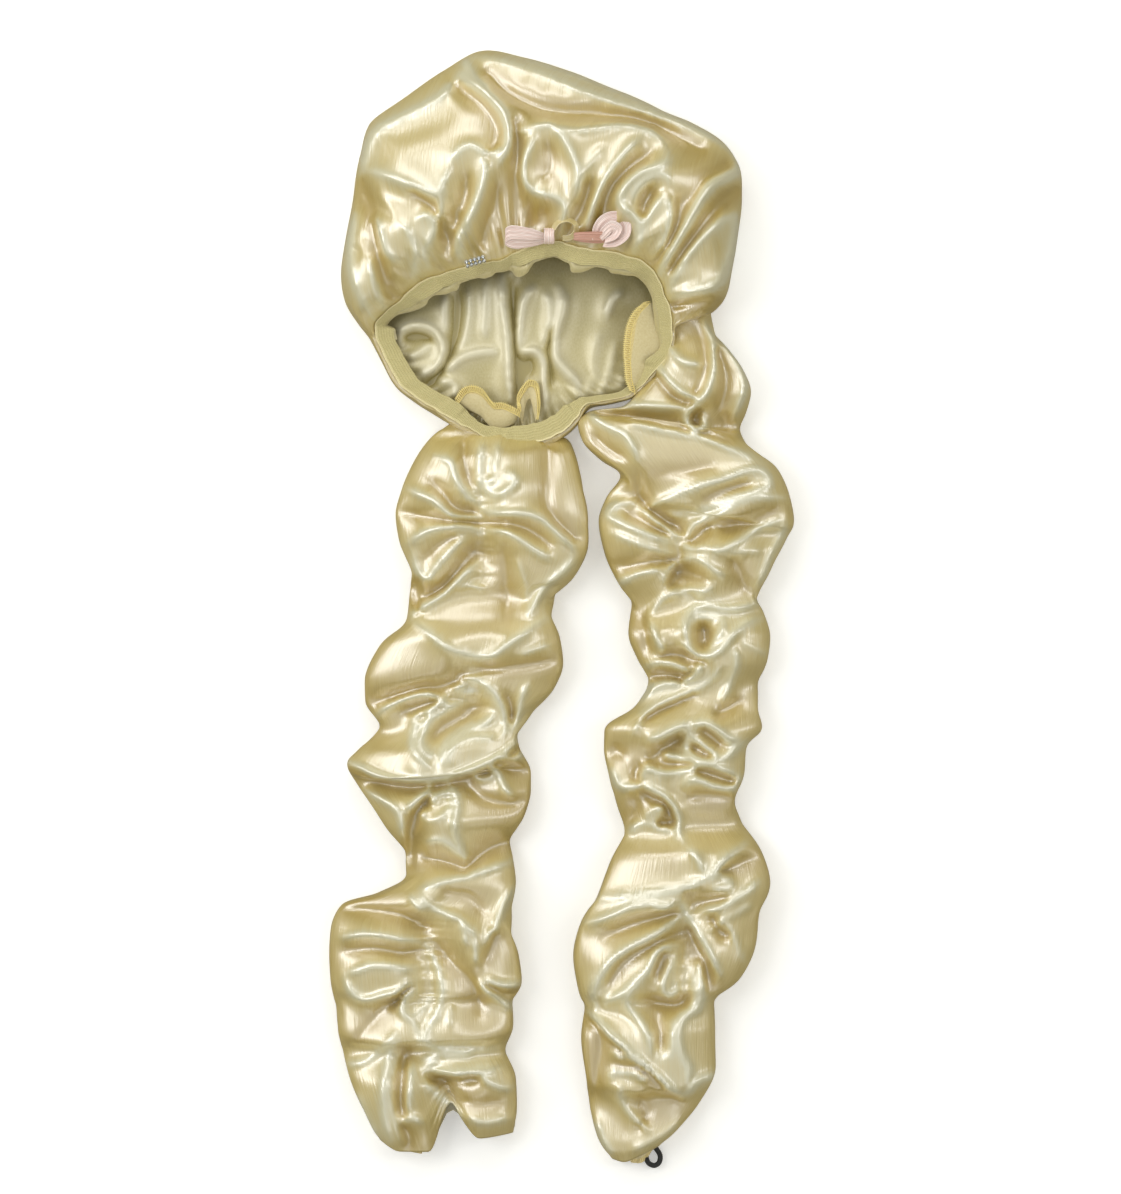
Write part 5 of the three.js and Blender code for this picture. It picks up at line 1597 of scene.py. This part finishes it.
def sweep_tree():
    """A round cord along a line."""
    tree, given = node_tree("swept_cord", Radius="Float", Look="Material")
    path = node(tree, "GeometryNodeMeshToCurve", {"Mesh": given.outputs["Geometry"]})
    cord = swept(tree, path.outputs[0], 12, given.outputs["Radius"])
    return finish_tree(tree, painted(tree, cord, given.outputs["Look"]))


def raised(tree, shape, height):
    upward = node(tree, "ShaderNodeCombineXYZ", {2: height})
    values = {"Geometry": shape, "Translation": upward.outputs[0]}
    return node(tree, "GeometryNodeTransform", values).outputs[0]


def stone_tree():
    """A faceted stone in a cup at each point."""
    tree, given = node_tree("stones_in_cups", Size="Float", Stone="Material", Cup="Material")
    size = given.outputs["Size"]
    girdle, flat_top, depth, cup_radius, cup_drop = (
        calculated(tree, "MULTIPLY", size, share) for share in (0.5, 0.27, 0.32, 0.56, -0.22)
    )
    crown = node(
        tree,
        "GeometryNodeMeshCone",
        {"Vertices": 8, "Radius Top": flat_top, "Radius Bottom": girdle, "Depth": depth},
    )
    cup = node(
        tree,
        "GeometryNodeMeshCylinder",
        {"Vertices": 12, "Radius": cup_radius, "Depth": size},
    )
    glass = painted(tree, raised(tree, crown.outputs[0], depth), given.outputs["Stone"])
    metal = painted(tree, raised(tree, cup.outputs[0], cup_drop), given.outputs["Cup"])
    set_out = node(
        tree,
        "GeometryNodeInstanceOnPoints",
        {"Points": given.outputs["Geometry"], "Instance": joined(tree, glass, metal)},
    )
    return finish_tree(tree, set_out.outputs[0])


overlock = overlock_tree()
sweep = sweep_tree()
stones = stone_tree()

STITCH_SPACING = 1.4
STITCH_REACH = 3.8
THREAD_RADIUS = 0.36


def edge_stitches(name, points):
    """Overlock stitches along the first row of a piece's points, standing on its cloth."""
    edge = points[0]
    inward = unit(points[2] - edge)
    up = unit(np.cross(np.gradient(edge, axis=0), inward))
    up *= np.sign(up[:, 2:3])
    piece = line_piece(name, edge + 0.5 * up)
    store_vectors(piece, "inward", inward)
    store_vectors(piece, "up", up)
    run_tree(
        piece,
        overlock,
        Spacing=STITCH_SPACING * METRES,
        Reach=STITCH_REACH * METRES,
        Thread=THREAD_RADIUS * METRES,
        Look=sewing_thread,
    )
    return dress(piece, "overlocked_edge", sewing_thread)


# Cap, back and sleeves

CAP_GROWTH = 0.015  # the share by which the cap's cloth grows as it is let go
SLEEVE_GROWTH = 0.02

points, firm = cap_cloth()
cap = draped(grid_piece("satin_cap", points, flat_grain=True), firm, CAP_GROWTH)
points, firm = back_cloth()
back = draped(grid_piece("satin_back", points, wrap=False, flat_grain=True), firm, 0.0)
points, firm = sleeve_cloth(LEFT_SLEEVE, LEFT_MAP, LEFT_HEM)
left_sleeve = draped(grid_piece("left_satin_sleeve", points), firm, SLEEVE_GROWTH)
points, firm = sleeve_cloth(RIGHT_SLEEVE, RIGHT_MAP, RIGHT_HEM)
right_sleeve = draped(grid_piece("right_satin_sleeve", points), firm, SLEEVE_GROWTH)
for piece, sharpened, folds_map, name in (
    (cap, sharpened_cap, CROWN_MAP, "crown"),
    (back, sharpened_back, FLOOR_MAP, "crown"),
    (left_sleeve, sharpened_sleeve(LEFT_MAP), LEFT_MAP, "left_sleeve"),
    (right_sleeve, sharpened_sleeve(RIGHT_MAP), RIGHT_MAP, "right_sleeve"),
):
    piece.data.materials.append(satin)
    piece.data.materials.append(dull_satin)
    finished_cloth(piece, sharpened=sharpened, folds_map=folds_map)
    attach(piece, "root")
    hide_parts(name)


# Elastic band and the turned seam allowance below it

BAND_STEPS = 480
BAND_RIBS = 7
BAND_JOIN = 68  # degrees: where the elastic's ends are sewn together

ALLOWANCE = table(  # how far the seam allowance shows inside the band
    ["at", "depth", "spread"],
    [91.5, 6.5, 7],
    [53, 5.5, 5],
    [36, 3.5, 4],
    [144, 4.5, 6],
    [161, 3.5, 5],
    [118, 2.0, 5],
    [12, 2.0, 6],
)


def elastic_band():
    """The flat elastic, ribbed along its length, with its two ends sewn together at one place."""
    degrees = np.linspace(0, 360, BAND_STEPS, endpoint=False)
    rim, rim_z, width, drop = band_section(degrees)
    angle = np.radians(degrees)
    ripple = 0.35 * np.sin(31 * angle + 2 * np.sin(2 * angle)) + 0.25 * np.sin(53 * angle)
    join = np.exp(-(((degrees - BAND_JOIN) / 0.7) ** 2))
    across = np.linspace(0, 1, 6 * BAND_RIBS + 1)
    ribs = 0.2 * np.cos(2 * np.pi * BAND_RIBS * across) + 0.25 * smooth(0.9, 0.97, across)
    round_off = np.sqrt(np.maximum(1 - ((across - 0.5) / 0.53) ** 2, 0)) ** 0.35
    top = BAND_THICKNESS * round_off + ribs
    shares = np.concatenate([across, across[::-6]])
    heights = np.concatenate([top, np.zeros(BAND_RIBS + 1)])
    radius = rim - (1 - shares[:, None]) * width + ripple * 0.6
    z = rim_z - (1 - shares[:, None]) * drop + heights[:, None] * (1 - 0.35 * join) + ripple * 0.5
    points = np.stack([radius * np.cos(angle), radius * np.sin(angle), z], axis=-1)
    rows = np.concatenate([points, points[:1]]).transpose(1, 0, 2)
    piece = grid_piece("knit_elastic_band", np.concatenate([rows, rows[:1]]), wrap=False)
    stripe = np.concatenate([shares, shares[:1]]) * BAND_WIDTH * METRES
    walked = walked_along(rows[:, 0]) * METRES
    walked = np.append(walked, walked[-1] + walked[1])
    uv = np.empty(len(piece.data.loops) * 2)
    corners = np.empty(len(piece.data.loops), int)
    piece.data.loops.foreach_get("vertex_index", corners)
    uv[0::2] = stripe[corners % len(stripe)]
    uv[1::2] = walked[corners // len(stripe)]
    piece.data.uv_layers["cloth"].data.foreach_set("uv", uv)
    return closed_seams(piece)


def closed_seams(piece):
    """The piece with its doubled points merged, where it meets itself, and its faces outwards."""
    shape = bmesh.new()
    shape.from_mesh(piece.data)
    bmesh.ops.remove_doubles(shape, verts=shape.verts, dist=0.00001)
    bmesh.ops.recalc_face_normals(shape, faces=shape.faces)
    shape.to_mesh(piece.data)
    shape.free()
    piece.data.shade_smooth()
    return piece


def seam_allowance():
    """Points of the cap's edge, folded in behind the band and showing in a few lobes."""
    degrees = np.linspace(-4, 178, 260)
    rim, rim_z, width, drop = band_section(degrees)
    depth = 0.6 + 0.5 * np.sin(np.radians(19 * degrees))
    for at, deep, spread in zip(*ALLOWANCE.values()):
        depth = depth + deep * np.exp(-(((degrees - at) / spread) ** 4))
    share = np.linspace(0, 1, 12)[:, None]
    radius = rim - 0.45 * width - share * (0.55 * width + depth)
    curl = np.sin(np.pi * np.clip((share - 0.4) / 0.6, 0, 1)) * 0.35 * depth
    start = rim_z - GAP - SATIN_THICKNESS - 0.5 - 0.45 * drop
    z = start - share * (0.55 * drop + 0.5 * depth) + curl
    angle = np.radians(degrees)
    return np.stack([radius * np.cos(angle), radius * np.sin(angle), z + 0 * angle], axis=-1)


band = dress(elastic_band(), "knit_elastic", knit)
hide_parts("elastic_band")
turned = grid_piece("turned_seam_allowance", seam_allowance(), wrap=False)
allowance = finished_cloth(turned, ALLOWANCE_THICKNESS)
dress(allowance, "satin", dull_satin)


# Serged seam frills inside the opening


FRILL_COLUMNS = 110
FRILL_ROWS = 14


def frill(free, sewn, free_z, sewn_z, waves, height, bulge):
    """Points of a seam allowance that stands up and ruffles along its free edge."""
    free_line = resampled(rounded(from_photo(free), 10), FRILL_COLUMNS)
    sewn_line = resampled(rounded(from_photo(sewn), 10), FRILL_COLUMNS)
    share = np.linspace(0, 1, FRILL_ROWS)[:, None, None]
    flat = free_line * (1 - share) + sewn_line * share
    along = np.linspace(0, 1, FRILL_COLUMNS)
    wave = np.sin(2 * np.pi * waves * along + 1.4 * np.sin(5 * along))
    share = share[..., 0]
    hung = free_z + (sewn_z - free_z) * share
    z = hung + height * wave * (1 - share) + bulge * np.sin(np.pi * share)
    return np.concatenate([flat, z[..., None]], axis=-1)


FRILLS = {
    "left_seam_frill": dict(
        free=[
            (456, 399), (463, 389), (473, 386), (483, 390), (489, 398), (494, 403), (502, 403),
            (510, 406), (518, 410),
        ],
        sewn=[
            (462, 407), (472, 411), (481, 416), (487, 423),
            (494, 428), (505, 427), (513, 424), (518, 419),
        ],
        free_z=13.2,
        sewn_z=10.6,
        waves=2.6,
        height=1.3,
        bulge=1.6,
    ),
    "middle_seam_frill": dict(
        free=[(519, 412), (518, 397), (523, 387), (530, 380), (538, 384), (540, 400), (538, 414)],
        sewn=[(523, 424), (525, 410), (527, 402), (530, 398), (532, 403), (534, 412), (536, 422)],
        free_z=12.4,
        sewn_z=11.2,
        waves=3.2,
        height=0.9,
        bulge=1.2,
    ),
    "right_seam_frill": dict(
        free=[
            (645, 303), (635, 312), (629, 323), (626, 337),
            (625, 352), (626, 368), (627, 380), (631, 391),
        ],
        sewn=[
            (660, 304), (662, 316), (664, 334), (664, 346),
            (658, 360), (648, 373), (642, 384), (634, 394),
        ],
        free_z=24,
        sewn_z=19.5,
        waves=1.5,
        height=0.8,
        bulge=1.5,
    ),
}
for name, shape in FRILLS.items():
    points = frill(**shape)
    cloth = grid_piece(name.replace("seam", "serged"), points, wrap=False)
    piece = finished_cloth(cloth, ALLOWANCE_THICKNESS)
    dress(piece, "overlocked_edge", serged_edge)
    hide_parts(name)
    stitches = edge_stitches(name.replace("frill", "stitches"), points)


# Narrow serged ruffles at the hems

HEM_RUFFLES = {
    "left_hem_ruffle": dict(
        free=[(432, 1097), (431, 1112), (429, 1128), (425, 1142), (422, 1155)],
        sewn=[(419, 1090), (420, 1106), (416, 1122), (412, 1138), (410, 1152)],
        free_z=11,
        sewn_z=17,
        waves=6.5,
        height=1.5,
        bulge=1,
    ),
    "right_hem_ruffle": dict(
        free=[(632, 1164), (640, 1165), (647, 1161), (652, 1153), (660, 1147), (668, 1140)],
        sewn=[(630, 1152), (638, 1152), (644, 1148), (649, 1142), (657, 1137), (665, 1131)],
        free_z=5,
        sewn_z=10,
        waves=4.5,
        height=1.1,
        bulge=1,
    ),
}
for name, shape in HEM_RUFFLES.items():
    points = frill(**shape)
    piece = finished_cloth(grid_piece(name, points, wrap=False), ALLOWANCE_THICKNESS)
    dress(piece, "overlocked_edge", serged_edge)


# Ribbon bow

RIBBON_STEPS = 70


def ribbon(name, route, across, widths, look, slot="ribbon", pleats=0.0):
    """A strip along a route of pixels and heights, with its width and the way across it at each."""
    at = np.linspace(0, 1, len(route))
    pixels, heights = [point[:2] for point in route], [point[2] for point in route]
    path = np.column_stack([from_photo(pixels), heights])
    path = resampled(rounded(path, 12), RIBBON_STEPS)
    along = np.linspace(0, 1, RIBBON_STEPS)
    ways = np.array(across, float).T
    across = unit(np.stack([np.interp(along, at, column) for column in ways], axis=1))
    width = np.interp(along, at, widths)[:, None, None]
    share = np.linspace(-0.5, 0.5, 11)[None, :, None]
    facing = unit(np.cross(np.gradient(path, axis=0), across))
    crease = pleats * np.sin(6 * np.pi * share) * facing[:, None]
    points = path[:, None] + share * width * across[:, None] + crease
    piece = finished_cloth(grid_piece(name, points, wrap=False), RIBBON_THICKNESS)
    dress(piece, slot, look)
    return piece


LEAN = [0, 0.8, 0.6]  # the ribbon's way across where it leans back against the cap
left_loop = ribbon(
    "bow_left_ribbon",
    [
        (547, 243, 54.0),
        (532, 245, 54.0),
        (515, 245, 53.8),
        (506, 241, 56.0),
        (512, 236.5, 58.6),
        (530, 238, 58.8),
        (547, 240.5, 57.2),
    ],
    [LEAN, LEAN, [0, 0.9, 0.4], [0, 0.9, 0.4], [0, 0.95, 0.3], [0, 0.95, 0.3], LEAN],
    [4.5, 7.5, 9.5, 10, 9.5, 8, 4.5],
    pale_ribbon,
    pleats=0.22,
)
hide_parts("bow_left_loop")
right_loop = ribbon(
    "bow_right_ribbon",
    [
        (571, 240, 54.6),
        (585, 242, 54.6),
        (600, 242.5, 54.4),
        (606, 241, 56.6),
        (600, 240, 58.8),
        (585, 240, 58.8),
        (571, 240, 57.5),
    ],
    [LEAN] * 7,
    [5, 6.5, 7, 7, 7, 6.5, 5],
    rose_ribbon,
    pleats=0.25,
)
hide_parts("bow_right_loop")
knot = ribbon(
    "bow_knot_ribbon",
    [
        (550, 247, 56),
        (550, 245, 59.8),
        (550, 239.5, 61.2),
        (550, 234, 59.5),
        (549, 233, 55.5),
        (549, 239, 53.2),
        (550, 247, 54.8),
    ],
    [[1, 0, 0]] * 7,
    [6.5, 7, 6.5, 6.5, 6, 6, 6],
    pale_ribbon,
    pleats=0.25,
)
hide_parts("bow_knot")
ribbon(
    "cream_satin_curl",
    [
        (552, 242, 57),
        (554, 234, 58.6),
        (559, 227, 59.6),
        (568, 224.5, 60),
        (575, 228, 59.8),
        (576, 235, 59),
        (571, 241, 58.2),
        (563, 242, 57.6),
    ],
    [
        [1, 0.1, 1],
        [1, -0.3, 1],
        [0.7, -0.8, 1.2],
        [0, -1, 1.4],
        [-0.7, -0.8, 1.2],
        [-1, 0, 1],
        [-0.5, 1, 0.8],
        [0, 1, 0.6],
    ],
    [3.5, 4.5, 5, 5, 5, 4.5, 4.5, 4],
    satin,
    slot="satin",
)
puff = ribbon(
    "bow_puff_ribbon",
    [
        (597, 244, 56.5),
        (599, 234, 58.6),
        (605, 226, 60),
        (615, 223, 60.4),
        (623, 229, 60),
        (623, 238, 59.2),
        (615, 245, 58),
        (604, 247, 57),
    ],
    [
        [-1, 0, 0.5],
        [-1, 0.4, 0.2],
        [-0.7, 0.9, 0.2],
        [0.2, 1, 0.2],
        [1, 0.5, 0.2],
        [1, -0.4, 0.2],
        [0.4, -1, 0.3],
        [-0.4, -1, 0.4],
    ],
    [7, 9, 10, 10.5, 10.5, 9.5, 8, 6],
    pale_ribbon,
    pleats=0.25,
)
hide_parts("bow_tail")
ribbon(
    "bow_inner_ribbon",
    [
        (600, 242, 58.6),
        (606, 235, 61.4),
        (612, 231, 62.6),
        (617, 234, 62),
        (613, 240, 60.6),
        (605, 244, 58.6),
    ],
    [[-0.6, 0.7, 0.2], [-0.6, 0.8, 0.2], [0, 1, 0.2], [1, 0.3, 0.2], [0.3, -1, 0.2], [0, -1, 0.3]],
    [5, 7, 8, 7.5, 6, 5],
    pale_ribbon,
    pleats=0.35,
)


# Crystal trim

STONE_SIZE = 2.5
STONE_PITCH = 2.9
TRIM_MIDDLE = (476.5, 264.5)
TRIM_TURN = 17  # degrees: it follows the band
TRIM_HEIGHT = 52.6

turn = np.radians(TRIM_TURN)
along = np.array([np.cos(turn), np.sin(turn)])
beside = np.array([-np.sin(turn), np.cos(turn)])
middle = from_photo([TRIM_MIDDLE])[0]
places = [
    middle + (column - 2) * STONE_PITCH * along + (row - 0.5) * STONE_PITCH * beside
    for row in range(2)
    for column in range(5)
]
trim = line_piece("crystal_chain", np.array([[*place, TRIM_HEIGHT] for place in places]))
run_tree(trim, stones, Size=STONE_SIZE * METRES, Stone=stone, Cup=silver)
trim.data.shade_flat()
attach(trim, "root")
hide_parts("crystal_trim")


# Black elastic hair loop at the right hem

HAIR_LOOP = [
    (650, 1148), (647, 1157), (649, 1165), (655, 1168),
    (660, 1165), (661, 1158), (657, 1151), (653, 1146),
]
HAIR_LOOP_HEIGHT = 4.1
HAIR_LOOP_RADIUS = 1.8

closed = from_photo([*HAIR_LOOP, HAIR_LOOP[0]])
ring = resampled(rounded(closed, 10), 73)[:-1]
ring = np.column_stack([ring, np.full(len(ring), HAIR_LOOP_HEIGHT)])
loop = line_piece("black_elastic_loop", ring, closed=True)
run_tree(loop, sweep, Radius=HAIR_LOOP_RADIUS * METRES, Look=black_elastic)
dress(loop, "black_elastic", black_elastic)
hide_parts("hair_loop")


# Floor, light and camera

# How the paper curves up: radius and height in metres
SWEEP_PROFILE = [(6.5, 0), (7.6, 0.2), (8.4, 0.7), (8.8, 1.6), (9, 4)]
SWEEP_SIDES = 64


def paper_sweep():
    """A round sheet of background paper that curves up into a wall all round."""
    angles = np.linspace(0, 2 * np.pi, SWEEP_SIDES, endpoint=False)
    places = [
        (radius * np.cos(a), radius * np.sin(a), z) for radius, z in SWEEP_PROFILE for a in angles
    ]
    faces = [tuple(range(SWEEP_SIDES))]
    for ring in range(len(SWEEP_PROFILE) - 1):
        for i in range(SWEEP_SIDES):
            here = ring * SWEEP_SIDES + i
            beside = ring * SWEEP_SIDES + (i + 1) % SWEEP_SIDES
            faces.append((here, beside, beside + SWEEP_SIDES, here + SWEEP_SIDES)[::-1])
    mesh = bpy.data.meshes.new("paper")
    mesh.from_pydata(places, [], faces)
    mesh.shade_smooth()
    return mesh


floor = bpy.data.objects.new("paper", paper_sweep())
floor.location.z = -0.0004  # metres, so that the cloth's underside never lies in the same plane
floor.data.materials.append(pale_paper())
floor.visible_glossy = False  # real paper is lit by the same room, which the satin reflects instead
bpy.context.scene.collection.objects.link(floor)


def softbox(name, place, width, height, power):
    """A soft lamp at a place in metres that faces the middle of the part."""
    light = bpy.data.lights.new(name, "AREA")
    light.shape = "RECTANGLE"
    light.size, light.size_y, light.energy = width, height, power
    lamp = bpy.data.objects.new(name, light)
    lamp.location = place
    lamp.rotation_mode = "QUATERNION"
    lamp.rotation_quaternion = (-Vector(place)).to_track_quat("-Z", "Y")
    bpy.context.scene.collection.objects.link(lamp)


softbox("left_window", (-1.6, 0.5, 1.5), 1.2, 2.0, 22)
softbox("right_window", (1.6, 0.3, 1.6), 0.5, 1.6, 7)
softbox("top_strip", (-0.2, 1.8, 1.5), 2.0, 0.8, 13)
softbox("low_fill", (0.3, -1.9, 1.4), 1.6, 0.4, 2)

# The room is pale overhead and warmer and darker towards the ground, which gives the satin its
# deep gold, as neighbouring folds do that reflect in each other.
room = bpy.data.worlds.new("room")
bpy.context.scene.world = room
room.use_nodes = True
sky = room.node_tree
sky.nodes.clear()
way = node(sky, "ShaderNodeTexCoord")
parts = node(sky, "ShaderNodeSeparateXYZ", {0: way.outputs["Generated"]})
strength = ramp(sky, parts.outputs[2], 0.0, 0.8, 0.14, 0.63)
overhead = ramp(sky, parts.outputs[2], 0.1, 0.85)
tint = blend_colours(sky, overhead, linear("#F0DCA2"), linear("#F7F8F6"))
paint = node(sky, "ShaderNodeBackground", {"Color": tint, "Strength": strength})
node(sky, "ShaderNodeOutputWorld", {"Surface": paint.outputs[0]})
bpy.context.scene.view_settings.view_transform = "Standard"

# The photograph is taken from straight above and frames this much of the part, in metres.
VIEW_CENTRE = (-0.00076, 0.01035)
VIEW_HEIGHT = 0.8119
CAMERA_HEIGHT = 3.5
FRAMED_LEVEL = 0.02  # the height at which the frame is that tall
SENSOR = 36
camera_data = bpy.data.cameras.new("camera")
camera_data.sensor_width = SENSOR
camera_data.lens = SENSOR * (CAMERA_HEIGHT - FRAMED_LEVEL) / VIEW_HEIGHT
camera = bpy.data.objects.new("camera", camera_data)
camera.location = (*VIEW_CENTRE, CAMERA_HEIGHT)
bpy.context.scene.collection.objects.link(camera)
bpy.context.scene.camera = camera
